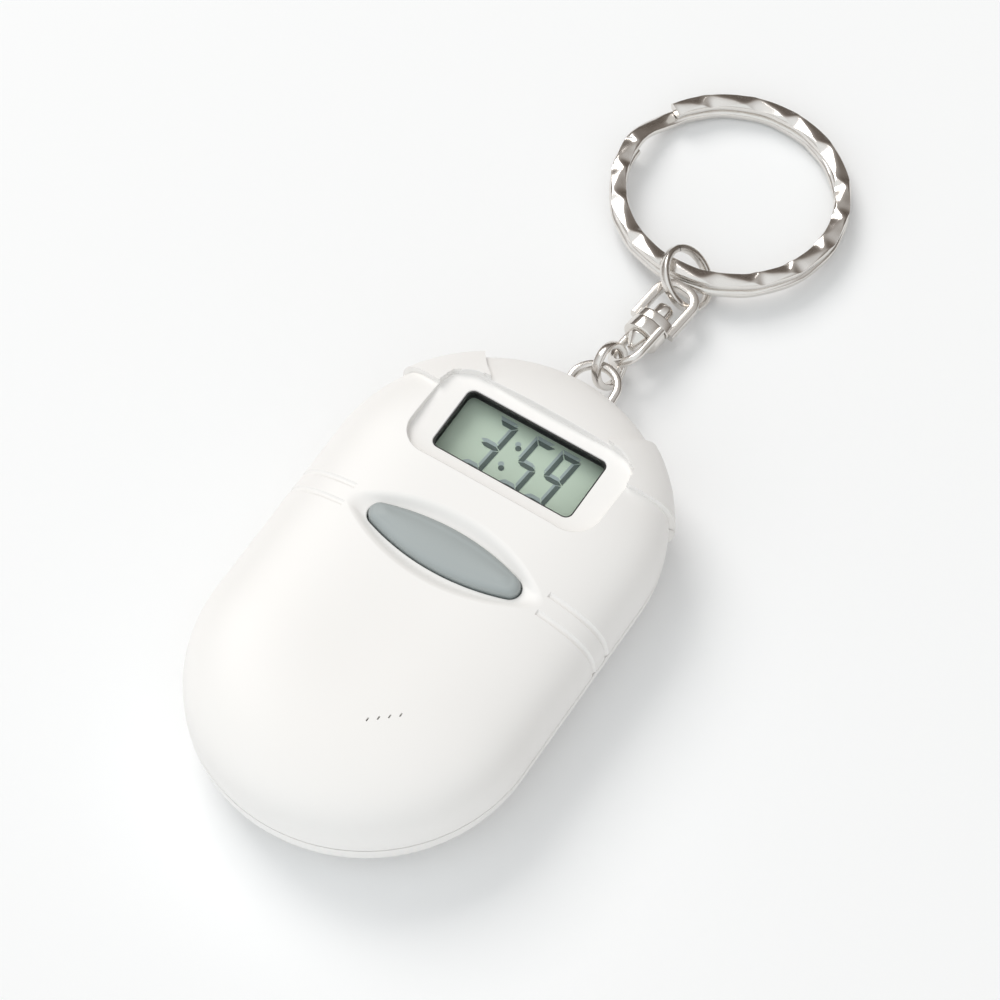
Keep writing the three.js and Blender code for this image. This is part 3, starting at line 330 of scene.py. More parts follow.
def ear_outline(corner=((11.7, 23.0),)):
    """Outline of the right ear from the front: its curved near and far edges and the panel's corner."""
    near = smooth_path([(11.9, 20.75), (14.0, 21.2), (16.5, 21.75), (18.8, 22.2), (22.5, 22.4)], 24)
    far = smooth_path([(13.9, 34.0), (12.7, 31.2), (11.0, 28.4), (9.2, 25.9), (7.6, 24.3)], 24)
    return np.vstack([near, [[30.0, 23.0], [30.0, 34.0]], far, corner])


# Meshes and pieces
def mesh_of(name, bodies):
    """One mesh from bodies given as points in millimetres and groups of faces."""
    points = []
    faces = []
    start = 0
    for body_points, face_groups in bodies:
        points.append(np.asarray(body_points, float) * MM)
        for group in face_groups:
            faces.extend((group + start).tolist())
        start += len(body_points)
    mesh = bpy.data.meshes.new(name)
    mesh.from_pydata(np.vstack(points).tolist(), [], faces)
    mesh.update()
    return mesh


def object_of(name, data):
    """Object of a mesh, lamp or camera, put into the scene."""
    made = bpy.data.objects.new(name, data)
    bpy.context.scene.collection.objects.link(made)
    return made


def solid(name, *bodies):
    """Object whose mesh holds the bodies."""
    return object_of(name, mesh_of(name, bodies))


def joined(target, tool, operation):
    """The target joined with, cut by or kept within a tool, which is used up; the mesh is made final."""
    step = target.modifiers.new(operation, "BOOLEAN")
    step.operation = operation
    step.solver = "MANIFOLD"
    step.object = tool
    name = target.data.name
    made = bpy.data.meshes.new_from_object(target.evaluated_get(bpy.context.evaluated_depsgraph_get()))
    target.modifiers.clear()
    used = [target.data, tool.data]
    target.data = made
    bpy.data.objects.remove(tool)
    for mesh in used:
        bpy.data.meshes.remove(mesh)
    made.name = name
    return target


def merged(target, operation, bodies):
    """Does the same with each body in turn."""
    for body in bodies:
        joined(target, solid("tool", body), operation)
    return target


def shaded(piece, sharp_degrees=32.0):
    """Smooth shading with sharp edges where two faces meet at more than an angle."""
    piece.data.shade_smooth()
    piece.data.set_sharp_from_angle(angle=math.radians(sharp_degrees))
    return piece


def skin_normals(piece, skins, on_skin_within=0.004, agree_degrees=14):
    """Gives the outer skin the exact normals of its superellipse, so that cuts leave no ripples beside them.
    A point belongs to a skin where X ** power + Z ** power is 1; its normal is that sum's gradient."""
    mesh = piece.data
    count = len(mesh.loops)
    corner_vertex = np.empty(count, int)
    mesh.loops.foreach_get("vertex_index", corner_vertex)
    places = np.empty(len(mesh.vertices) * 3)
    mesh.vertices.foreach_get("co", places)
    places = places.reshape(-1, 3) / MM
    sizes = np.empty(len(mesh.polygons), int)
    mesh.polygons.foreach_get("loop_total", sizes)
    face_normals = np.empty(len(mesh.polygons) * 3)
    mesh.polygons.foreach_get("normal", face_normals)
    corner_normal = np.repeat(face_normals.reshape(-1, 3), sizes, axis=0)
    distance, direction = from_axis(places[:, 0], places[:, 1])
    chosen = np.zeros((count, 3))
    for side, grow, raised in skins:
        reach = side["reach"] + grow
        rise = side["rise"] + raised
        power = side["power"]
        across = np.clip(1 - (CASE_RADIUS + grow - distance) / reach, 0, None)
        over = np.clip(side["up"] * (places[:, 2] - SEAM) / rise, 0, None)
        on_skin = np.abs(across**power + over**power - 1) < on_skin_within
        slope = across ** (power - 1) / reach
        normal = np.column_stack([direction * slope[:, None], side["up"] * over ** (power - 1) / rise])
        normal /= np.maximum(np.linalg.norm(normal, axis=1), 1e-12)[:, None]
        at_corner = normal[corner_vertex]
        agrees = (at_corner * corner_normal).sum(axis=1) > math.cos(math.radians(agree_degrees))
        use = on_skin[corner_vertex] & agrees
        chosen[use] = at_corner[use]
    mesh.normals_split_custom_set(chosen.tolist())


def finished(piece, body, material_list, replaced=None):
    """Gives a piece its materials, the body that it moves with, and the CAD solid that it stands for."""
    piece.data.materials.clear()
    for material in material_list:
        piece.data.materials.append(material)
    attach(piece, body)
    if replaced:
        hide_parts(*replaced)
    return piece


# Shared effects, as node groups
def new_group(name, inputs, outputs):
    """Node group with named sockets, and its input and output nodes."""
    group = bpy.data.node_groups.new(name, "ShaderNodeTree")
    for socket, kind, value in inputs:
        made = group.interface.new_socket(name=socket, in_out="INPUT", socket_type=kind)
        made.default_value = value
    for socket, kind in outputs:
        group.interface.new_socket(name=socket, in_out="OUTPUT", socket_type=kind)
    return group, group.nodes.new("NodeGroupInput"), group.nodes.new("NodeGroupOutput")


def unevenness_group():
    """Two scales of noise: a slow mottling of the colour and gloss, and a fine grain for the height."""
    number, colour = "NodeSocketFloat", "NodeSocketColor"
    inputs = [
        ("Mottle Scale", number, 60.0), ("Grain Scale", number, 2500.0), ("Roughness", number, 0.4),
        ("Spread", number, 0.06), ("Colour", colour, (0.8, 0.8, 0.8, 1.0)), ("Shade", number, 0.96),
    ]
    outputs = [("Colour", colour), ("Roughness", number), ("Height", number)]
    group, given, result = new_group("unevenness", inputs, outputs)
    nodes, links = group.nodes, group.links
    place = nodes.new("ShaderNodeTexCoord")
    mottle = nodes.new("ShaderNodeTexNoise")
    grain = nodes.new("ShaderNodeTexNoise")
    for noise, scale, detail in ((mottle, "Mottle Scale", 3.0), (grain, "Grain Scale", 4.0)):
        noise.inputs["Detail"].default_value = detail
        links.new(place.outputs["Object"], noise.inputs["Vector"])
        links.new(given.outputs[scale], noise.inputs["Scale"])
    centred = nodes.new("ShaderNodeMath")
    centred.operation = "SUBTRACT"
    centred.inputs[1].default_value = 0.5
    gloss = nodes.new("ShaderNodeMath")
    gloss.operation = "MULTIPLY_ADD"
    level = nodes.new("ShaderNodeMapRange")
    level.inputs["From Min"].default_value = 0.3
    level.inputs["From Max"].default_value = 0.7
    level.inputs["To Max"].default_value = 1.0
    tone = nodes.new("ShaderNodeVectorMath")
    tone.operation = "SCALE"
    wires = [
        (mottle.outputs["Fac"], centred.inputs[0]),
        (centred.outputs[0], gloss.inputs[0]),
        (given.outputs["Spread"], gloss.inputs[1]),
        (given.outputs["Roughness"], gloss.inputs[2]),
        (mottle.outputs["Fac"], level.inputs["Value"]),
        (given.outputs["Shade"], level.inputs["To Min"]),
        (given.outputs["Colour"], tone.inputs[0]),
        (level.outputs["Result"], tone.inputs["Scale"]),
        (tone.outputs["Vector"], result.inputs["Colour"]),
        (gloss.outputs[0], result.inputs["Roughness"]),
        (grain.outputs["Fac"], result.inputs["Height"]),
    ]
    for output, target in wires:
        links.new(output, target)
    return group


UNEVENNESS = unevenness_group()
RELIEF_DEPTH = 0.1
DISPLAY_LAYER = {"bump": 0.1, "grain": 5200.0, "shade": 0.93}
BARE_METAL = {"metallic": 1.0, "mottle": 300.0, "grain": 2500.0, "bump": 0.1, "spread": 0.15}


def coated(
    name, colour, roughness, metallic=0.0, mottle=60.0, grain=2500.0, bump=0.02, spread=0.06, shade=0.96
):
    """Principled material whose colour, gloss and fine relief vary over the surface."""
    material = bpy.data.materials.new(name)
    material.use_nodes = True
    nodes, links = material.node_tree.nodes, material.node_tree.links
    shader = nodes["Principled BSDF"]
    shader.inputs["Metallic"].default_value = metallic
    effect = nodes.new("ShaderNodeGroup")
    effect.node_tree = UNEVENNESS
    values = {
        "Mottle Scale": mottle, "Grain Scale": grain, "Roughness": roughness, "Spread": spread,
        "Colour": (*colour, 1.0), "Shade": shade,
    }
    for socket, value in values.items():
        effect.inputs[socket].default_value = value
    relief = nodes.new("ShaderNodeBump")
    relief.inputs["Strength"].default_value = bump
    relief.inputs["Distance"].default_value = RELIEF_DEPTH * MM
    links.new(effect.outputs["Colour"], shader.inputs["Base Color"])
    links.new(effect.outputs["Roughness"], shader.inputs["Roughness"])
    links.new(effect.outputs["Height"], relief.inputs["Height"])
    links.new(relief.outputs["Normal"], shader.inputs["Normal"])
    return material


def clear(name, colour, alpha):
    """See-through moulding: a thin gloss over what lies behind it."""
    material = coated(name, colour, 0.06, mottle=80.0, grain=900.0, bump=0.01, spread=0.04, shade=0.99)
    material.node_tree.nodes["Principled BSDF"].inputs["Alpha"].default_value = alpha
    return material


WHITE_PLASTIC = coated("white_plastic", (0.94, 0.925, 0.905), 0.42, bump=0.05, grain=3200.0, shade=0.985)
GREY_RUBBER = coated("grey_rubber", (0.41, 0.45, 0.45), 0.5, bump=0.12, grain=4200.0, spread=0.1, shade=0.94)
CLEAR_PLASTIC = clear("clear_plastic", (0.1, 0.11, 0.1), 0.035)
FRONT_GLASS = clear("display_front_glass", (0.05, 0.09, 0.06), 0.035)
REFLECTOR = coated("display_reflector", (0.72, 0.87, 0.72), 0.6, **DISPLAY_LAYER)
# Dark figures: painted shadow that the segments cast on the reflector, darkest where the segments lie over
# it.
SEGMENT_PAINTED_SHADOW = coated("display_segment_painted_shadows", (0.11, 0.15, 0.14), 0.6, **DISPLAY_LAYER)
SEGMENT_GHOST = coated("display_segment_ghosts", (0.47, 0.57, 0.57), 0.6, **DISPLAY_LAYER)
BLACK_PLASTIC = coated("black_plastic", (0.012, 0.012, 0.013), 0.5, bump=0.06, shade=0.8)
BOARD = coated("board_lacquer", (0.02, 0.14, 0.055), 0.35, mottle=250.0, grain=2200.0, bump=0.1, shade=0.8)
FOAM = coated("gasket_foam", (0.03, 0.03, 0.03), 0.95, mottle=900.0, grain=2600.0, bump=0.6, shade=0.6)
PAPER = coated("cone_paper", (0.03, 0.028, 0.025), 0.9, mottle=400.0, grain=1800.0, bump=0.4, shade=0.7)
NICKEL = coated(
    "bright_nickel", (0.8, 0.77, 0.735), 0.18, 1.0, mottle=220.0, grain=1500.0, bump=0.05, spread=0.08
)
STEEL = coated("plain_steel", (0.56, 0.56, 0.55), 0.3, **BARE_METAL)
BRASS = coated("contact_brass", (0.7, 0.5, 0.2), 0.28, **BARE_METAL)


# Casing
def lipped_cut(outline, floor, surface, lip, up=1, steps=6):
    """Body that cuts a recess with a rounded lip: straight walls from its floor to a lip's radius short of
    the surface, then a quarter circle outwards, then straight on. It opens upwards, or downwards where up
    is -1. The surface's height is given at each point of the outline."""
    away = outward_of(outline)
    start = up * np.maximum(up * surface - lip, up * floor + LEAST_WALL)
    rings = [at_height(outline, floor), at_height(outline, start)]
    for step in range(1, steps + 1):
        angle = LIP_SWEEP_SHARE * math.pi / 2 * step / steps
        wide = outline + away * lip * (1 - math.cos(angle))
        rings.append(at_height(wide, start + up * lip * math.sin(angle)))
    wide = outline + away * lip * LIP_WIDE_SHARE
    rings.append(at_height(wide, start + up * lip * LIP_RUN_SHARE))
    rings.append(at_height(wide, FAR_ABOVE if up > 0 else FAR_BELOW))
    return lofted(rings[::up])


def dish_cut(steps=14, ease=0.6, rim_width=0.05, rim_rise=0.1):
    """Body that cuts the dish: rings blend from the inner eye shape to the outer one, and the depth under the
    skin falls from full to none along 1 - s + ease * sin(2 * pi * s) / (2 * pi)."""
    inner = lens(DISH["inner_x"], DISH["inner_y"], DISH["inner_tip"], BUTTON["y"])
    outer = lens(DISH["outer_x"], DISH["outer_y"], DISH["outer_tip"], BUTTON["y"])
    rings = []
    for share in np.linspace(0, 1, steps):
        outline = inner + (outer - inner) * share
        surface = skin_height(outline[:, 0], outline[:, 1])
        left = 1 - share + ease * math.sin(2 * math.pi * share) / (2 * math.pi)
        rings.append(at_height(outline, surface - left * (surface - DISH["floor"])))
    rim = outer + rim_width * outward_of(outer)
    rings.append(at_height(rim, skin_height(rim[:, 0], rim[:, 1]) + rim_rise))
    rings.append(at_height(rim, FAR_ABOVE))
    return lofted(rings)


def groove_cut(side, y, count=60):
    """Body that cuts one belt groove: a rounded U carried down the dome in a plane across the casing."""
    rim_start = CASE_RADIUS - GROOVE_RIM_RUN
    x = np.concatenate([
        np.linspace(GROOVE_FROM, rim_start, count // 2, endpoint=False),
        CASE_RADIUS - GROOVE_RIM_RUN * np.linspace(1, 0, count // 2) ** 2,
    ])
    z = SEAM + dome_height(FRONT, x, np.full_like(x, y))
    slope = np.gradient(z) / np.maximum(np.gradient(x), 1e-9)
    normal = np.column_stack([-slope, np.zeros_like(x), np.ones_like(x)])
    normal /= np.linalg.norm(normal, axis=1)[:, None]
    x = np.append(x, CASE_RADIUS)
    z = np.append(z, SEAM - OVERRUN)
    normal = np.vstack([normal, [1.0, 0.0, 0.0]]) * (side, 1, 1)
    path = np.column_stack([side * x, np.full_like(x, y), z])
    across = np.tile([0.0, float(side), 0.0], (len(path), 1))
    return carried(path, across, normal, GROOVE_SECTION, closed=False)


def slot_cuts():
    """Narrow round-ended slots in a slanted row."""
    cuts = []
    for at in range(SLOT_COUNT):
        along = (at - (SLOT_COUNT - 1) / 2) * SLOT_SPACING
        x = SLOT_MIDDLE[0] + along * math.cos(SLOT_TURN)
        y = SLOT_MIDDLE[1] + along * math.sin(SLOT_TURN)
        upper = arc((x, y + SLOT_HALF_STRAIGHT), SLOT_RADIUS, 0, math.pi, 8)
        lower = arc((x, y - SLOT_HALF_STRAIGHT), SLOT_RADIUS, math.pi, 2 * math.pi, 8)
        cuts.append(prism(np.vstack([upper, lower]), CROWN - SLOT_DEPTH, FAR_ABOVE))
    return cuts


def ear_prism(side, outline):
    """The ear's outline, or its mirror image, as a body through the whole casing."""
    outline = outline * (side, 1)
    return prism(outline if side > 0 else outline[::-1], FAR_BELOW, FAR_ABOVE)


def with_ears(target, side, raised, outline):
    """Joins to a domed body the parts of a swollen one that lie within the two ears' outlines."""
    for hand in (1, -1):
        swollen = solid("swollen", domed_body(side, EAR_RISE, raised))
        merged(swollen, "INTERSECT", [ear_prism(hand, outline)])
        joined(target, swollen, "UNION")
    return target


def front_shell(panel_wall_corner=2.0, hole_lip=0.15):
    """The front half: domed skin and ears, hollow but under the panel, with all its openings and grooves."""
    shell = solid("front_shell_skin", domed_body(FRONT))
    with_ears(shell, FRONT, EAR_RISE, ear_outline())
    hollow = solid("hollow", domed_body(FRONT, -WALL, -WALL, 30))
    under_panel = rounded_box(PANEL["half_x"] + WALL, PANEL["half_y"] + WALL, panel_wall_corner, PANEL["y"])
    merged(hollow, "DIFFERENCE", [prism(under_panel, PANEL_UNDERSIDE, FAR_ABOVE)])
    joined(shell, hollow, "DIFFERENCE")
    panel = rounded_box(PANEL["half_x"], PANEL["half_y"], PANEL["corner"], PANEL["y"], 420)
    window = rounded_box(WINDOW["half_x"], WINDOW["half_y"], WINDOW["corner"], WINDOW["y"], 300)
    hole = lens(BUTTON["half_x"] + FIT, BUTTON["half_y"] + FIT, BUTTON["tip"] + FIT, BUTTON["y"])
    cuts = [
        stadium_prism(TONGUE_OUTER + FIT, SEAM - OVERRUN, TONGUE_TOP + FIT),
        lipped_cut(panel, PANEL["top"], skin_height(panel[:, 0], panel[:, 1]), PANEL["lip"]),
        lipped_cut(window, PANEL_UNDERSIDE - OVERRUN, np.full(len(window), PANEL["top"]), WINDOW["lip"]),
        dish_cut(),
        lipped_cut(hole, SEAM, np.full(len(hole), DISH["floor"]), hole_lip),
    ]
    cuts += [groove_cut(side, y) for side in (1, -1) for y in GROOVE_PLACES]
    cuts += slot_cuts()
    cuts.append(stadium_prism(CASE_RADIUS + BESIDE, FAR_BELOW, SEAM + SEAM_HALF_GAP))
    merged(shell, "DIFFERENCE", cuts)
    shaded(shell)
    skin_normals(shell, [(FRONT, 0.0, 0.0), (FRONT, EAR_RISE, EAR_RISE)])
    return finished(shell, "casing", [WHITE_PLASTIC], ["front_shell"])


front_shell()


# Chain and ring of flattened wire
def wire_section(half_width, half_height, power=3.2, count=32):
    """Flattened round: a superellipse of a power, as shares across and up."""
    angle = 2 * math.pi * np.arange(count) / count
    cosine, sine = np.cos(angle), np.sin(angle)
    across = half_width * np.sign(cosine) * np.abs(cosine) ** (2 / power)
    up = half_height * np.sign(sine) * np.abs(sine) ** (2 / power)
    return np.column_stack([across, up])


def flat_loop(x, y, out_x, out_y):
    """Path in the XY plane with its outward and upward directions."""
    level = np.zeros(len(x))
    path = np.column_stack([x, y, level])
    outward = np.column_stack([out_x, out_y, level])
    upward = np.tile([0.0, 0.0, 1.0], (len(x), 1))
    return path, outward, upward


def round_loop(radius, count=160):
    """Circle about the origin."""
    angle = 2 * math.pi * np.arange(count) / count
    return flat_loop(radius * np.cos(angle), radius * np.sin(angle), np.cos(angle), np.sin(angle))


def oval_loop(half_width, half_length, count=64):
    """Two half circles joined by two straights along Y."""
    straight = half_length - half_width
    angle = math.pi * np.arange(count + 1) / count
    angle = np.concatenate([angle, angle + math.pi])
    middle = np.repeat([straight, -straight], count + 1)
    return flat_loop(
        half_width * np.cos(angle), middle + half_width * np.sin(angle), np.cos(angle), np.sin(angle)
    )


def placed(made, seat):
    """A body turned and then moved into the casing's frame, as its seat says."""
    points, faces = made
    return np.asarray(points) @ np.array(seat["turn"].to_3x3()).T + np.asarray(seat["place"]), faces


def about(axis, angle):
    """Turn about one axis through the origin."""
    return Matrix.Rotation(angle, 4, axis)


def leaning(lean, heading):
    """Turn that leans the Z axis from upright towards a heading."""
    return about("Z", heading) @ about("Y", lean)


def looped_wire(loop, wire, closed=True):
    """Flattened wire carried round a counterclockwise loop. Its section runs clockwise seen along the loop's
    outward and upward directions, so that its faces look outwards."""
    return carried(*loop, wire_section(*wire)[::-1], closed)


def nickel_piece(name, made, body, node):
    """Piece of the chain or the ring, with the body that it moves with and the CAD solid it stands for."""
    return finished(shaded(solid(name, made), METAL_SHARP_DEGREES), body, [NICKEL], [node])


METAL_SHARP_DEGREES = 38.0
LINK_1 = {
    "place": (0.0, 28.0, 4.0), "turn": about("Z", 0.078), "half_width": 2.75, "half_length": 5.45,
    "shift": 3.95, "wire": (0.5, 0.55),
}
LINK_2 = {"place": (-0.6, 38.3, 3.2), "turn": leaning(1.2, -0.044), "radius": 2.46, "wire": (0.42, 0.52)}
SWIVEL = {"place": (-0.02, 39.0, 3.3), "turn": about("Z", -0.096), "roll": -0.7}
JUMP_RING = {
    "place": (0.58, 52.99, 3.25), "turn": leaning(0.782, 0.326), "radius": 3.57, "slit": 2.37,
    "wire": (0.42, 0.56),
}
SPLIT_RING = {"place": (-1.53, 66.09, 2.304), "turn": about("X", -0.063), "radius": 13.0, "pitch": 1.5}
SPLIT_WIRE = {"half_width": 1.0, "half_height": 0.68}
SPLIT_WAVES = 16

path, outward, upward = oval_loop(LINK_1["half_width"], LINK_1["half_length"])
first_link = looped_wire((path + (0.0, LINK_1["shift"], 0.0), outward, upward), LINK_1["wire"])
nickel_piece("chain_link_first", placed(first_link, LINK_1), "link_1", "chain_link_1")
second_link = looped_wire(round_loop(LINK_2["radius"]), LINK_2["wire"])
nickel_piece("chain_link_second", placed(second_link, LINK_2), "link_2", "chain_link_2")


# Swivel: its own Y axis runs along the chain
def turned_about_y(profile, count=56):
    """Body of a profile of radius and place along Y, turned round the Y axis."""
    profile = np.asarray(profile, float)
    angle = 2 * math.pi * np.arange(count) / count
    radius = profile[:, :1]
    along = np.broadcast_to(profile[:, 1:], (len(profile), count))
    return lofted(np.stack([radius * np.cos(angle), along, -radius * np.sin(angle)], axis=-1))


def rounded_drum(radius, low, high, edge):
    """Profile of a drum along Y with rounded rims."""
    turn = np.linspace(0, math.pi / 2, 6)
    low_rim = np.column_stack([radius - edge + edge * np.sin(turn), low + edge - edge * np.cos(turn)])
    high_rim = np.column_stack([radius - edge + edge * np.cos(turn), high - edge + edge * np.sin(turn)])
    return np.vstack([[[AXIS_RADIUS, low]], low_rim, high_rim, [[AXIS_RADIUS, high]]])


def bow_loop(half_width, bend, leg, count=20, leg_count=12):
    """Path of a bail's wire: a leg along Y, a rounded end about Y = 0, and the other leg."""
    angle = np.linspace(0, math.pi / 2, count)
    cosine, sine = np.cos(angle), np.sin(angle)
    flat = half_width - bend
    legs = np.linspace(leg, bend, leg_count, endpoint=False)
    one, none = np.ones(leg_count), np.zeros(leg_count)
    x = [half_width * one, flat + bend * cosine, -flat - bend * sine, -half_width * one]
    y = [legs, bend - bend * sine, bend - bend * cosine, legs[::-1]]
    out_x = [one, cosine, -sine, -one]
    out_y = [none, -sine, -cosine, none]
    x, y, out_x, out_y = (np.concatenate(part) for part in (x, y, out_x, out_y))
    keep = np.append(True, np.hypot(np.diff(x), np.diff(y)) > 1e-6)
    return flat_loop(x[keep], y[keep], out_x[keep], out_y[keep])


RIVET_HOLE_RADIUS = 0.65
RIVET_HOLE_EDGE = 0.05


def lower_bail(half_width=2.2, leg=5.85, wire_radius=0.525):
    """Round-wire bow whose legs run along the drum that turns on the rivet."""
    wire = wire_section(wire_radius, wire_radius, 2.0, 28)
    bow = carried(*bow_loop(half_width, half_width, leg), wire, closed=False)
    piece = solid("swivel_lower_bail_body", bow)
    merged(piece, "UNION", [turned_about_y(rounded_drum(2.3, 4.1, 6.0, 0.22))])
    hole = rounded_drum(RIVET_HOLE_RADIUS, 2.0, 8.0, RIVET_HOLE_EDGE)
    return merged(piece, "DIFFERENCE", [turned_about_y(hole)])


def upper_bail(half_width=2.4, bend=2.0, leg=6.2, closed_end=12.55, band_flatness_share=0.68):
    """Flat-wire bow, square at its legs' ends, whose band turns round the rivet beside the drum."""
    wire = wire_section(0.55, 0.6, 5.0, 28)
    points, faces = carried(*bow_loop(half_width, bend, leg), wire, closed=False)
    piece = solid("swivel_upper_bail_body", (points * (-1, -1, 1) + (0.0, closed_end, 0.0), faces))
    points, faces = turned_about_y(rounded_drum(2.35, 6.15, 7.45, 0.18))
    merged(piece, "UNION", [(points * (1, 1, band_flatness_share), faces)])
    hole = rounded_drum(RIVET_HOLE_RADIUS, 5.0, 9.0, RIVET_HOLE_EDGE)
    return merged(piece, "DIFFERENCE", [turned_about_y(hole)])


def swivel_piece(piece, turn, body, node):
    """Moves a piece's mesh from the swivel's own frame into the casing's, its object left at the origin."""
    piece.data.transform(Matrix.Translation(Vector(SWIVEL["place"]) * MM) @ turn)
    return finished(shaded(piece, METAL_SHARP_DEGREES), body, [NICKEL], [node])


def rivet(knob_start=7.7):
    """Headed pin: a ridged neck, a cone, the pin through drum and band, and a rough knob whose radius swells
    by 0.03 * sin(5 * a + 3 * y) + 0.02 * sin(9 * a - 5 * y) at angle a and place y."""
    neck = [(AXIS_RADIUS, 2.38), (0.38, 2.39), (0.48, 2.45), (0.42, 2.52), (0.5, 2.59), (0.46, 2.66)]
    cone = [(0.62, 2.8), (1.3, 3.75), (1.4, 3.9), (1.42, 4.0), (1.38, 4.07), (0.5, 4.07)]
    knob = [
        (0.5, 7.6), (1.02, 7.62), (1.1, 7.72), (1.1, 8.85), (1.0, 9.15), (0.8, 9.32), (0.45, 9.4),
        (AXIS_RADIUS, 9.4),
    ]
    points, faces = turned_about_y(neck + cone + knob, 48)
    angle = np.arctan2(points[:, 2], points[:, 0])
    along = points[:, 1]
    rough = 0.03 * np.sin(5 * angle + 3 * along) + 0.02 * np.sin(9 * angle - 5 * along)
    points[:, (0, 2)] *= (1 + np.where(along > knob_start, rough, 0.0))[:, None]
    return solid("swivel_rivet_body", (points, faces))


swivel_piece(lower_bail(), SWIVEL["turn"] @ about("Y", SWIVEL["roll"]), "swivel_base", "swivel_lower_bail")
swivel_piece(rivet(), SWIVEL["turn"], "swivel_base", "swivel_rivet")
swivel_piece(upper_bail(), SWIVEL["turn"], "swivel_bail", "swivel_upper_bail")


def jump_ring(half_gap=0.06, count=160):
    """Open loop of flattened wire whose ends butt together."""
    radius = JUMP_RING["radius"]
    half_slit = half_gap / radius
    angle = JUMP_RING["slit"] + half_slit + (2 * math.pi - 2 * half_slit) * np.linspace(0, 1, count)
    cosine, sine = np.cos(angle), np.sin(angle)
    loop = flat_loop(radius * cosine, radius * sine, cosine, sine)
    return looped_wire(loop, JUMP_RING["wire"], closed=False)


nickel_piece("jump_ring_body", placed(jump_ring(), JUMP_RING), "connecting_ring", "jump_ring")


def split_ring(count=900, section_count=96, jog=0.525, start=2.63):
    """Wire wound twice round, one turn over the other, stepping down between its own ends over the jog's
    angle. The upper turn is hammered to a roof whose ridge winds from edge to edge. At phase p and a place
    x across: ridge = 0.5 * sin(p + 0.6 * sin(p)), fall = sqrt((x - ridge) ** 2 + 0.09) and
    roof = half height - 0.26 * fall - 0.04 * fall ** 2. The lower turn takes 0.3 of that. The width is
    scaled by 0.97 + 0.04 * sin(p + 2.2 - 0.6 * x), and shrinks where the wire is pressed down."""
    level = 2 * math.pi - jog
    along = (2 * level + jog) * np.linspace(0, 1, count)
    drop = np.clip((along - level) / jog, 0, 1)
    drop = drop * drop * (3 - 2 * drop)
    angle = start - along
    cosine, sine, none = np.cos(angle), np.sin(angle), np.zeros(count)
    radius = SPLIT_RING["radius"]
    path = np.column_stack([radius * cosine, radius * sine, SPLIT_RING["pitch"] * (0.5 - drop)])
    outward = np.column_stack([cosine, sine, none])
    upward = np.tile([0.0, 0.0, 1.0], (count, 1))
    section = wire_section(SPLIT_WIRE["half_width"], SPLIT_WIRE["half_height"], 2.6, section_count)
    across, up = (np.broadcast_to(section[:, axis], (count, section_count)) for axis in (0, 1))
    phase = SPLIT_WAVES * along + 0.55 * np.sin(2.3 * along) + 0.4 * np.sin(5.7 * along) + 0.9
    ridge = 0.5 * np.sin(phase + 0.6 * np.sin(phase))[:, None]
    fall = np.sqrt((across - ridge) ** 2 + 0.09)
    roof = SPLIT_WIRE["half_height"] - 0.26 * fall - 0.04 * fall * fall
    hammered = np.where(along < level, 1.0, 0.3)[:, None]
    pressed = np.where(up > 0, np.maximum(up - roof, 0.0), 0.0) * hammered
    spread = 0.97 + 0.04 * np.sin(phase + 2.2 - 0.6 * across.T).T
    shaped = np.stack([across * spread * (1 - 0.22 * pressed), up - pressed], axis=-1)
    return carried(path, outward, upward, shaped, closed=False)


nickel_piece("split_ring_body", placed(split_ring(), SPLIT_RING), "key_ring", "split_ring")


# Back of the casing
CELL_Y = 9.5
COVER = {"half_x": 13.05, "half_y": 7.0, "corner": 1.6, "thickness": 1.2, "tab_half": 3.2, "tab_end": 21.1}
BOSSES = {
    "near_left": (-13.6, -12.2), "near_right": (13.6, -12.2), "far_left": (-13.5, 18.9),
    "far_right": (13.5, 18.9),
}
BOSS_RADIUS = 2.0
SHANK_HOLE_RADIUS = 0.95
PILOT_RADIUS = 0.85
FITTINGS_LOW = 0.4
COLLAR_TOP = 12.0
COLLAR_WIDTH = 4.0
HOLES_TOP = 8.0
CELL_X = 6.05
CELL_WELL_RADIUS = 6.0
CELL_CAGE = {"half_x": 13.25, "half_y": 7.2, "corner": 1.0, "top": 6.3}
COVER_SCREW_Y = 18.8
HEAD_RADIUS = 1.4
HEAD_HEIGHT = 0.9
HEAD_SEAT = 2.9
HEAD_RIM = {"run": 0.42, "rise_share": 0.55, "edge": 0.05}
SHANK = {"radius": 0.75, "thread": 0.12, "step": 0.2, "tip": 0.3}
RECESS = {"half_length": 0.72, "half_width": 0.17, "corner": 0.08, "depth": 0.5}
COVER_SCREW = {"low": 0.15, "head_height": 0.6, "length": 4.2, "seat": 0.75, "hole_top": 3.0}
CASE_SCREW_LENGTH = 7.1
RIDGES = {"count": 5, "half_x": 3.4, "half_y": 0.26, "corner": 0.25, "step": 0.9, "near": 4.6, "top": 0.3}
RIDGE_SHORTENING = 0.25
KEY_X = 5.6
KEY_Y = 22.1
KEY_RADIUS = 1.4
KEY_FLANGE_ROOM = 0.8
POST_Y = 28.0
POST_HOLE = {"radius": 1.0, "low": 2.3, "high": 8.0}
POCKET = {
    "bottom": 3.1, "top": 5.2, "half_x": 4.8, "near": 25.6, "half_y": 8.0, "corner": 0.7, "wall": 1.0,
    "wall_corner": 0.8, "roof": 1.4,
}


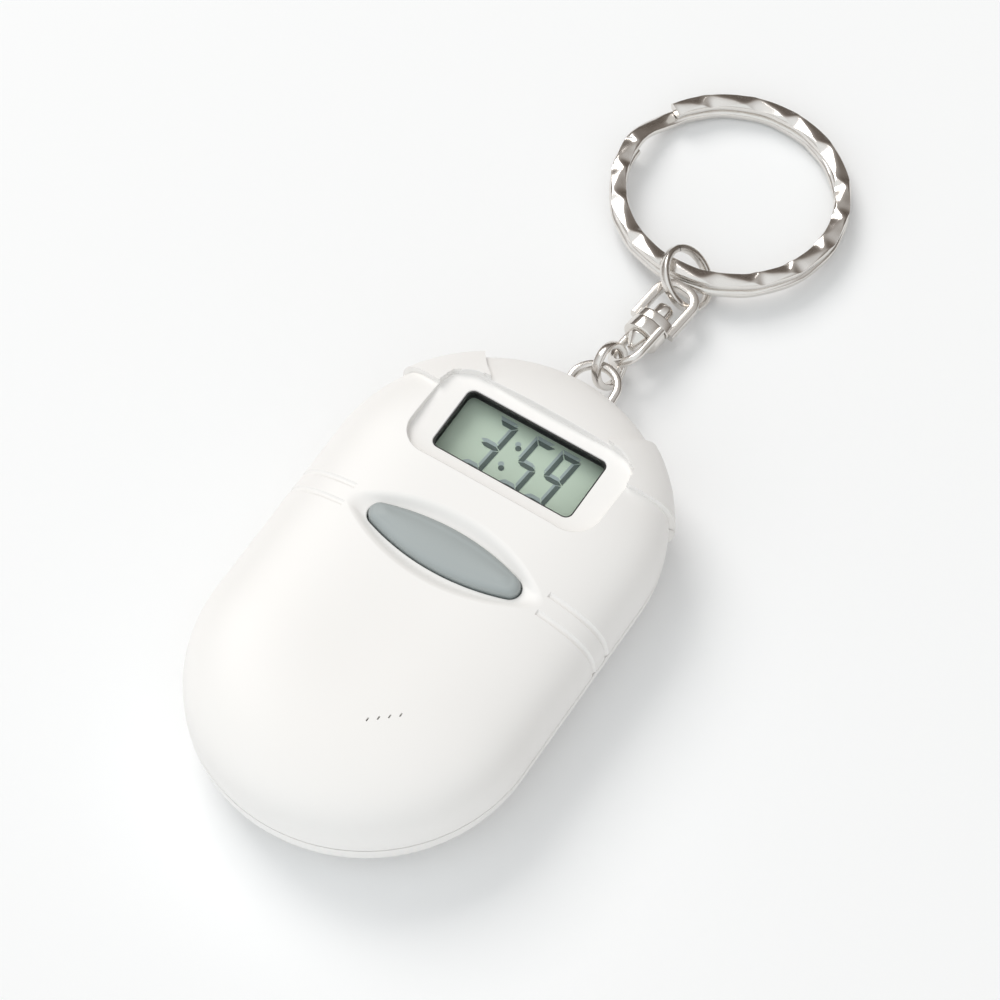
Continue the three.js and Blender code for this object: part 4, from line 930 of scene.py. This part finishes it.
def cover_outline(clearance, corner, inner_corner=0.5):
    """Battery cover seen from the front: a rounded rectangle with a round-cornered tab at its far side."""
    half_x = COVER["half_x"] + clearance
    near = CELL_Y - COVER["half_y"] - clearance
    far = CELL_Y + COVER["half_y"] + clearance
    tab = COVER["tab_half"] + clearance
    end = COVER["tab_end"] + clearance
    quarter = math.pi / 2
    pieces = [
        arc((half_x - corner, near + corner), corner, -quarter, 0, 12),
        arc((half_x - corner, far - corner), corner, 0, quarter, 12),
        arc((tab + inner_corner, far + inner_corner), inner_corner, -quarter, -2 * quarter, 8),
        arc((tab - corner, end - corner), corner, 0, quarter, 12),
        arc((corner - tab, end - corner), corner, quarter, 2 * quarter, 12),
        arc((-tab - inner_corner, far + inner_corner), inner_corner, 0, -quarter, 8),
        arc((corner - half_x, far - corner), corner, quarter, 2 * quarter, 12),
        arc((corner - half_x, near + corner), corner, 2 * quarter, 3 * quarter, 12),
    ]
    return evenly(np.vstack(pieces), 520)


def back_height(x, y):
    """Height of the rear skin above the plane that the back rests on."""
    return SEAM - dome_height(REAR, x, y)


def lipped_cut_below(outline, top, lip):
    """The recess cut of the back: its floor lies above it, and its lip is rounded at the rear skin."""
    return lipped_cut(outline, top, back_height(outline[:, 0], outline[:, 1]), lip, up=-1, steps=5)


def rear_shell(cover_lip=0.18, screw_lip=0.2, key_lip=0.25):
    """The rear half: domed skin, ears and hollow, with the fittings inside, the tongue round the rim, and the
    openings of the pocket, the cells, the cover, the screws and the keys."""
    shell = solid("rear_shell_skin", domed_body(REAR))
    inner_curve = smooth_path([(7.6, 24.3), (7.9, 22.9), (8.9, 21.5), (10.3, 20.85), (11.9, 20.75)], 14)
    with_ears(shell, REAR, 0.0, ear_outline(inner_curve[1:-1]))
    merged(shell, "DIFFERENCE", [domed_body(REAR, -WALL, -WALL, 26)])

    wall = POCKET["wall"]
    wall_y = POCKET["near"] - wall + POCKET["half_y"]
    pocket_wall = rounded_box(POCKET["half_x"] + wall, POCKET["half_y"], POCKET["wall_corner"], wall_y, 120)
    cage = rounded_box(CELL_CAGE["half_x"], CELL_CAGE["half_y"], CELL_CAGE["corner"], CELL_Y, 160)
    boss_top = SEAM - SEAM_HALF_GAP
    blocks = [prism(cage, FITTINGS_LOW, CELL_CAGE["top"])]
    blocks += [prism(circle(*place, BOSS_RADIUS), FITTINGS_LOW, boss_top) for place in BOSSES.values()]
    blocks.append(prism(circle(0, COVER_SCREW_Y, BOSS_RADIUS), FITTINGS_LOW, CELL_CAGE["top"]))
    inner = solid("inner", prism(pocket_wall, FITTINGS_LOW, POCKET["top"] + POCKET["roof"]))
    merged(inner, "UNION", blocks)
    fittings = solid("fittings", domed_body(REAR, -WALL / 2, -WALL / 2, 26))
    joined(fittings, inner, "INTERSECT")
    joined(shell, fittings, "UNION")

    rib = solid("rib", stadium_prism(TONGUE_OUTER, TONGUE_LOW, TONGUE_TOP))
    merged(rib, "DIFFERENCE", [stadium_prism(TONGUE_INNER, TONGUE_LOW - OVERRUN, TONGUE_TOP + OVERRUN)])
    joined(shell, rib, "UNION")
    collar = solid("collar", stadium_prism(CASE_RADIUS + COLLAR_WIDTH, SEAM - SEAM_HALF_GAP, COLLAR_TOP))
    merged(collar, "DIFFERENCE", [stadium_prism(TONGUE_OUTER, SEAM - OVERRUN, COLLAR_TOP + OVERRUN)])
    joined(shell, collar, "DIFFERENCE")

    pocket_y = POCKET["near"] + POCKET["half_y"]
    pocket = rounded_box(POCKET["half_x"], POCKET["half_y"], POCKET["corner"], pocket_y, 120)
    cuts = [
        prism(pocket, POCKET["bottom"], POCKET["top"]),
        prism(circle(0, POST_Y, POST_HOLE["radius"]), POST_HOLE["low"], POST_HOLE["high"]),
        lipped_cut_below(cover_outline(FIT, COVER["corner"]), COVER["thickness"] + FIT, cover_lip),
    ]
    for side in (1, -1):
        cuts.append(prism(circle(side * CELL_X, CELL_Y, CELL_WELL_RADIUS, 72), FAR_BELOW, HOLES_TOP))
    for place in BOSSES.values():
        cuts.append(lipped_cut_below(circle(*place, HEAD_RADIUS + FIT), HEAD_SEAT, screw_lip))
        cuts.append(prism(circle(*place, SHANK_HOLE_RADIUS), FAR_BELOW, HOLES_TOP))
    for side in (1, -1):
        key_x = side * KEY_X
        cuts.append(lipped_cut_below(circle(key_x, KEY_Y, KEY_RADIUS + FIT), HOLES_TOP, key_lip))
        cuts.append(prism(circle(key_x, KEY_Y, KEY_RADIUS + KEY_FLANGE_ROOM), WALL, SEAM))
    cuts.append(prism(circle(0, COVER_SCREW_Y, PILOT_RADIUS), FAR_BELOW, POCKET["top"]))
    merged(shell, "DIFFERENCE", cuts)
    shaded(shell)
    skin_normals(shell, [(REAR, 0.0, 0.0), (REAR, EAR_RISE, 0.0)])
    return finished(shell, "casing", [WHITE_PLASTIC], ["rear_shell"])


def battery_cover(edge=0.2, edge_overlap=0.04):
    """The cover's plate under the rear skin, with rounded edges, a sunk screw seat and five finger ridges."""
    outline = cover_outline(0.0, COVER["corner"])
    away = outward_of(outline)
    surface = back_height(outline[:, 0], outline[:, 1])
    rings = [
        at_height(outline - away * (edge + edge_overlap), FAR_BELOW),
        at_height(outline - away * (edge + edge_overlap / 2), surface - edge / 2),
    ]
    for angle in np.linspace(0.08, 1, 6) * math.pi / 2:
        wide = outline - away * edge * (1 - math.sin(angle))
        rings.append(at_height(wide, surface + edge * (1 - math.cos(angle))))
    rings.append(at_height(outline, COVER["thickness"]))
    cover = solid("battery_cover_plate", lofted(rings))
    merged(cover, "INTERSECT", [domed_body(REAR)])
    cuts = [
        prism(circle(0, COVER_SCREW_Y, HEAD_RADIUS + FIT), FAR_BELOW, COVER_SCREW["seat"]),
        prism(circle(0, COVER_SCREW_Y, SHANK_HOLE_RADIUS), FAR_BELOW, COVER_SCREW["hole_top"]),
    ]
    for at in range(RIDGES["count"]):
        half_x = RIDGES["half_x"] - RIDGE_SHORTENING * abs(at - RIDGES["count"] // 2)
        y = CELL_Y - RIDGES["near"] + RIDGES["step"] * at
        ridge = rounded_box(half_x, RIDGES["half_y"], RIDGES["corner"], y, 60)
        cuts.append(prism(ridge, FAR_BELOW, RIDGES["top"]))
    merged(cover, "DIFFERENCE", cuts)
    shaded(cover)
    skin_normals(cover, [(REAR, 0.0, 0.0)])
    return finished(cover, "casing", [WHITE_PLASTIC], ["battery_cover"])


def screw(name, x, y, low, head_height, length, node):
    """Pan head with a rounded rim and a cross recess, on a threaded shank whose radius steps in and out."""
    rim = np.linspace(0, math.pi / 2, 7)
    seat = low + head_height
    tip = seat + length
    rim_radius = HEAD_RADIUS - HEAD_RIM["run"] * (1 - np.sin(rim))
    rim_height = low + head_height * HEAD_RIM["rise_share"] * (1 - np.cos(rim))
    head = [(AXIS_RADIUS, low), *zip(rim_radius, rim_height)]
    head += [(HEAD_RADIUS, seat - HEAD_RIM["edge"]), (HEAD_RADIUS - HEAD_RIM["edge"], seat)]
    turns = np.arange(0, length - SHANK["step"] * 2.5, SHANK["step"])
    radii = SHANK["radius"] - SHANK["thread"] * (np.arange(len(turns)) % 2)
    shank = [*zip(radii, seat + LEAST_WALL + turns), (SHANK["tip"], tip - SHANK["step"]), (AXIS_RADIUS, tip)]
    piece = solid(name, turned_about_z(head + shank, x, y, 36))
    long, narrow = RECESS["half_length"], RECESS["half_width"]
    bars = []
    for half_x, half_y in ((long, narrow), (narrow, long)):
        bar = rounded_box(half_x, half_y, RECESS["corner"], 0.0, 40) + (x, y)
        heights = (low - OVERRUN, low, low + RECESS["depth"])
        bars.append(lofted([at_height(bar, height) for height in heights]))
    merged(piece, "DIFFERENCE", bars)
    return finished(shaded(piece), "casing", [STEEL], [node])


rear_shell()
battery_cover()
for corner, (x, y) in BOSSES.items():
    head_low = HEAD_SEAT - HEAD_HEIGHT
    screw(f"screw_{corner}", x, y, head_low, HEAD_HEIGHT, CASE_SCREW_LENGTH, f"case_screw_{corner}")
screw(
    "screw_of_battery_cover", 0.0, COVER_SCREW_Y, COVER_SCREW["low"], COVER_SCREW["head_height"],
    COVER_SCREW["length"], "battery_cover_screw",
)


def setting_key(name, side, body, node):
    """Small round key with a dished face, a flange inside the casing and a stem."""
    face = np.linspace(0, 1, 8)
    profile = [(max(AXIS_RADIUS, 1.15 * s), 0.62 - 0.1 * s * s) for s in face]
    rim = np.linspace(0, math.pi / 2, 5)[1:]
    profile += list(zip(1.15 + 0.25 * np.sin(rim), 0.77 - 0.25 * np.cos(rim)))
    profile += [(1.4, 1.8), (2.0, 1.8), (2.0, 2.4), (0.9, 2.4), (0.9, 6.6), (AXIS_RADIUS, 6.6)]
    piece = shaded(solid(name, turned_about_z(profile, side * KEY_X, KEY_Y, 48)))
    return finished(piece, body, [GREY_RUBBER], [node])


setting_key("setting_key_left", -1, "setting_key_left", "set_key_left")
setting_key("setting_key_right", 1, "setting_key_right", "set_key_right")


# Talk button
def talk_button(edge_inset=1.05, edge_rise=0.72, tip_inset=0.06, edge_steps=12, top_steps=8):
    """Eye-shaped cap: straight side, an edge that is a quarter ellipse, and a top that rises by
    1 - (1 - share) ** 2 from the edge to the middle."""
    half_x, half_y, tip = BUTTON["half_x"], BUTTON["half_y"], BUTTON["tip"]

    def ring(inset, height):
        outline = lens(half_x - inset, half_y - inset, tip * (1 - inset / half_y), BUTTON["y"])
        return at_height(outline, height)

    flange = lens(half_x + BUTTON_FLANGE, half_y + BUTTON_FLANGE, tip + BUTTON_FLANGE, BUTTON["y"])
    rings = [at_height(flange, BUTTON_FLANGE_BOTTOM), at_height(flange, BUTTON_FLANGE_TOP)]
    rings.append(ring(0, BUTTON_FLANGE_TOP))
    for angle in np.linspace(0, math.pi / 2, edge_steps):
        inset = edge_inset * (1 - math.cos(angle))
        rings.append(ring(inset, BUTTON["side_top"] + edge_rise * math.sin(angle)))
    crown_rise = BUTTON["top"] - BUTTON["side_top"] - edge_rise
    for share in np.linspace(0, 1, top_steps + 1)[1:]:
        inset = edge_inset + (half_y - edge_inset - tip_inset) * share
        rings.append(ring(inset, BUTTON["side_top"] + edge_rise + crown_rise * (1 - (1 - share) ** 2)))
    piece = shaded(solid("talk_button_cap", lofted(rings)))
    return finished(piece, "talk_key", [GREY_RUBBER], ["talk_button"])


talk_button()


# Display
def slab_piece(name, outline, low, high, material, node):
    """Flat clear or coloured layer of the display."""
    return finished(shaded(solid(name, prism(outline, low, high))), "casing", [material], [node])


def window_lining(count=200):
    """Black rim that lines the window down to the display."""
    half_x, half_y, corner = WINDOW["half_x"], WINDOW["half_y"], WINDOW["corner"]
    outer = rounded_box(half_x - LINING_GAP, half_y - LINING_GAP, corner, WINDOW["y"], count)
    inner = rounded_box(half_x - LINING_INSET, half_y - LINING_INSET, LINING_CORNER, WINDOW["y"], count)
    rings = np.array([
        at_height(outer, LINING_BOTTOM), at_height(outer, LINING_TOP),
        at_height(inner, LINING_TOP), at_height(inner, LINING_BOTTOM),
    ])
    piece = shaded(solid("window_lining", (rings.reshape(-1, 3), [ring_faces(4, count, closed_rows=True)])))
    return finished(piece, "casing", [BLACK_PLASTIC], None)


SEGMENT_HALF_X = 0.93
SEGMENT_HALF_Y = 3.3
SEGMENT_WIDTH = 0.66
SEGMENT_GAP = 0.06
SEGMENT_SLANT = 0.09
DIGIT_MIDDLE_Y = 18.43
DIGITS = [(-3.95, "abgcd"), (0.82, "afgcd"), (4.13, "abfgcd")]
COLON = [(-1.2, 19.88), (-1.45, 16.78)]
COLON_RADIUS = 0.34
FIGURE_THICKNESS = 0.02


def shrunk(corners, gap):
    """Convex polygon with each edge moved inwards; each corner is where two moved edges cross."""
    along = np.roll(corners, -1, axis=0) - corners
    along /= np.linalg.norm(along, axis=1)[:, None]
    inward = np.column_stack([-along[:, 1], along[:, 0]])
    level = np.sum(inward * corners, axis=1) + gap
    pairs = np.stack([np.roll(inward, 1, axis=0), inward], axis=1)
    return np.linalg.solve(pairs, np.stack([np.roll(level, 1), level], axis=1)[..., None])[..., 0]


def segment_bars():
    """The bars of a figure about its middle, mitred where they meet. The lower left one, e, is never lit."""
    wide = SEGMENT_HALF_X + SEGMENT_WIDTH / 2
    high = SEGMENT_HALF_Y + SEGMENT_WIDTH / 2
    in_x = wide - SEGMENT_WIDTH
    in_y = high - SEGMENT_WIDTH
    half = SEGMENT_WIDTH / 2
    top = np.array([(wide, high), (-wide, high), (-in_x, in_y), (in_x, in_y)])
    upper = np.array([(wide, 0.0), (wide, high), (in_x, in_y), (in_x, half)])
    middle = np.array([
        (wide, 0.0), (in_x, half), (-in_x, half), (-wide, 0.0), (-in_x, -half), (in_x, -half),
    ])
    return {
        "a": top, "b": upper, "c": upper[::-1] * (1, -1), "d": top[::-1] * (1, -1),
        "f": upper[::-1] * (-1, 1), "g": middle,
    }


def display_figures(name, plane, shift, material):
    """Seven-segment figures and a colon, slanted by a share of their height and moved by a shift."""
    bars = segment_bars()
    outlines = []
    for middle, lit in DIGITS:
        for bar in lit:
            corners = shrunk(bars[bar], SEGMENT_GAP)
            corners[:, 0] += middle + SEGMENT_SLANT * corners[:, 1]
            corners[:, 1] += DIGIT_MIDDLE_Y
            outlines.append(corners)
    outlines += [circle(x, y, COLON_RADIUS, 24) for x, y in COLON]
    bodies = [prism(outline + shift, plane, plane + FIGURE_THICKNESS) for outline in outlines]
    return finished(shaded(solid(name, *bodies)), "casing", [material], None)


def slab_outline(half_x, half_y, corner=0.3):
    """Round-cornered layer centred under the window."""
    return rounded_box(half_x, half_y, corner, WINDOW["y"], 120)


pane = slab_outline(
    WINDOW["half_x"] - LINING_INSET - LINING_GAP, WINDOW["half_y"] - LINING_INSET - LINING_GAP, PANE_CORNER
)
top_glass = slab_outline(TOP_GLASS_HALF_X, TOP_GLASS_HALF_Y)
reflector = slab_outline(DISPLAY_HALF_X, DISPLAY_HALF_Y)
slab_piece(
    "window_pane", pane, PANEL_UNDERSIDE, PANE_TOP, CLEAR_PLASTIC, "display_window"
)
slab_piece(
    "display_top_glass", top_glass, TOP_GLASS_LOW, TOP_GLASS_HIGH, FRONT_GLASS, "display_front_glass",
)
slab_piece(
    "display_reflector", reflector, REFLECTOR_BOTTOM, REFLECTOR_TOP, REFLECTOR, "display_rear_glass",
)
window_lining()
# The dark figures are painted shadow: the shadow that the segments cast on the reflector.
display_figures("display_segment_painted_shadows", SEGMENT_SHADOW_PLANE, (0.0, 0.0), SEGMENT_PAINTED_SHADOW)
display_figures("display_segment_ghosts", GHOST_PLANE, GHOST_SHIFT, SEGMENT_GHOST)


# Post in the pocket
def ring_post():
    """Post with chamfered ends that the first link hangs on."""
    profile = [(AXIS_RADIUS, 2.5), (0.82, 2.5), (0.9, 2.58), (0.9, 6.42), (0.82, 6.5), (AXIS_RADIUS, 6.5)]
    piece = shaded(solid("pocket_post", turned_about_z(profile, 0, POST_Y, 40)))
    return finished(piece, "casing", [STEEL], ["ring_post"])


ring_post()

# Inner parts keep their solids and take a finish
INNER_FINISHES = {
    "display_holder": BLACK_PLASTIC,
    "display_rubber_strip": GREY_RUBBER,
    "circuit_board": BOARD,
    "chip_blob": BLACK_PLASTIC,
    "time_crystal": STEEL,
    "capacitor": BRASS,
    "talk_button_dome": GREY_RUBBER,
    "speaker_basket": STEEL,
    "speaker_cone": PAPER,
    "speaker_magnet": STEEL,
    "speaker_gasket": FOAM,
    "battery_link_plate": BRASS,
    "button_cell_left": STEEL,
    "button_cell_right": STEEL,
    "battery_contact_left": BRASS,
    "battery_contact_right": BRASS,
    "set_switch_left": STEEL,
    "set_switch_right": STEEL,
}
for node_name, material in INNER_FINISHES.items():
    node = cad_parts[node_name]
    node.data.materials.clear()
    node.data.materials.append(material)


# Studio
def studio_floor(centre_y=20.0, radius=4000.0, top=-0.02, thickness=1.0, count=96):
    """Pale table, a disc much wider than the view."""
    rim = at_height(circle(0, centre_y, radius, count), top)
    middle = at_height(circle(0, centre_y, 1.0, count), top)
    piece = solid("table", lofted([rim - (0, 0, thickness), rim, middle]))
    floor = coated("table_top", (0.965, 0.97, 0.975), 0.6, mottle=4.0, grain=700.0, shade=0.995)
    piece.data.materials.append(floor)


def area_lamp(name, place, aim, size, power, colour):
    """Square soft lamp that looks at a point; its lengths are in metres."""
    light = bpy.data.lights.new(name, "AREA")
    light.shape = "SQUARE"
    light.size = size
    light.energy = power
    light.color = colour
    lamp = object_of(name, light)
    lamp.location = place
    lamp.rotation_euler = (Vector(aim) - Vector(place)).to_track_quat("-Z", "Y").to_euler()


def studio_world():
    """Soft tent of light: bright overhead and towards the near side, warm grey low on the far side."""
    world = bpy.data.worlds.new("studio")
    bpy.context.scene.world = world
    world.use_nodes = True
    nodes, links = world.node_tree.nodes, world.node_tree.links
    background = nodes["Background"]
    place = nodes.new("ShaderNodeTexCoord")
    facing = nodes.new("ShaderNodeVectorMath")
    facing.operation = "DOT_PRODUCT"
    facing.inputs[1].default_value = (0.1, -0.6, 0.79)
    share = nodes.new("ShaderNodeMapRange")
    share.inputs["From Min"].default_value = -0.4
    share.inputs["From Max"].default_value = 1.0
    ramp = nodes.new("ShaderNodeValToRGB")
    tones = ramp.color_ramp.elements
    tones[0].color = (0.13, 0.11, 0.095, 1.0)
    tones[1].color = (0.92, 0.96, 0.97, 1.0)
    between = [
        (0.28, (0.22, 0.195, 0.175, 1.0)), (0.48, (0.45, 0.43, 0.41, 1.0)),
        (0.66, (0.69, 0.69, 0.69, 1.0)), (0.8, (0.91, 0.93, 0.94, 1.0)),
    ]
    for position, tone in between:
        tones.new(position).color = tone
    links.new(place.outputs["Generated"], facing.inputs[0])
    links.new(facing.outputs["Value"], share.inputs["Value"])
    links.new(share.outputs["Result"], ramp.inputs["Fac"])
    links.new(ramp.outputs["Color"], background.inputs["Color"])


def photo_camera():
    """Camera of the photograph, fitted to the ring, the casing, the panel and the button."""
    place = np.array([128.28, -191.45, 426.45])
    aim = np.array([-2.64, 18.56, -0.27])
    roll = math.radians(0.79)
    forward = (aim - place) / np.linalg.norm(aim - place)
    level = np.cross(forward, (0.0, 0.0, 1.0))
    level /= np.linalg.norm(level)
    upright = np.cross(level, forward)
    right = level * math.cos(roll) + upright * math.sin(roll)
    up = upright * math.cos(roll) - level * math.sin(roll)
    seat = np.eye(4)
    seat[:3] = np.column_stack([right, up, -forward, place * MM])
    data = bpy.data.cameras.new("photo_camera")
    data.lens = 159.1
    data.sensor_width = 36.0
    camera = object_of("photo_camera", data)
    camera.matrix_world = Matrix(seat.tolist())
    bpy.context.scene.camera = camera


studio_floor()
area_lamp(
    "key", place=(-1.65, 0.82, 1.98), aim=(0.0, 0.02, 0.0), size=1.5, power=31.5, colour=(1.0, 0.985, 0.965)
)
studio_world()
photo_camera()
bpy.context.scene.view_settings.view_transform = "Standard"
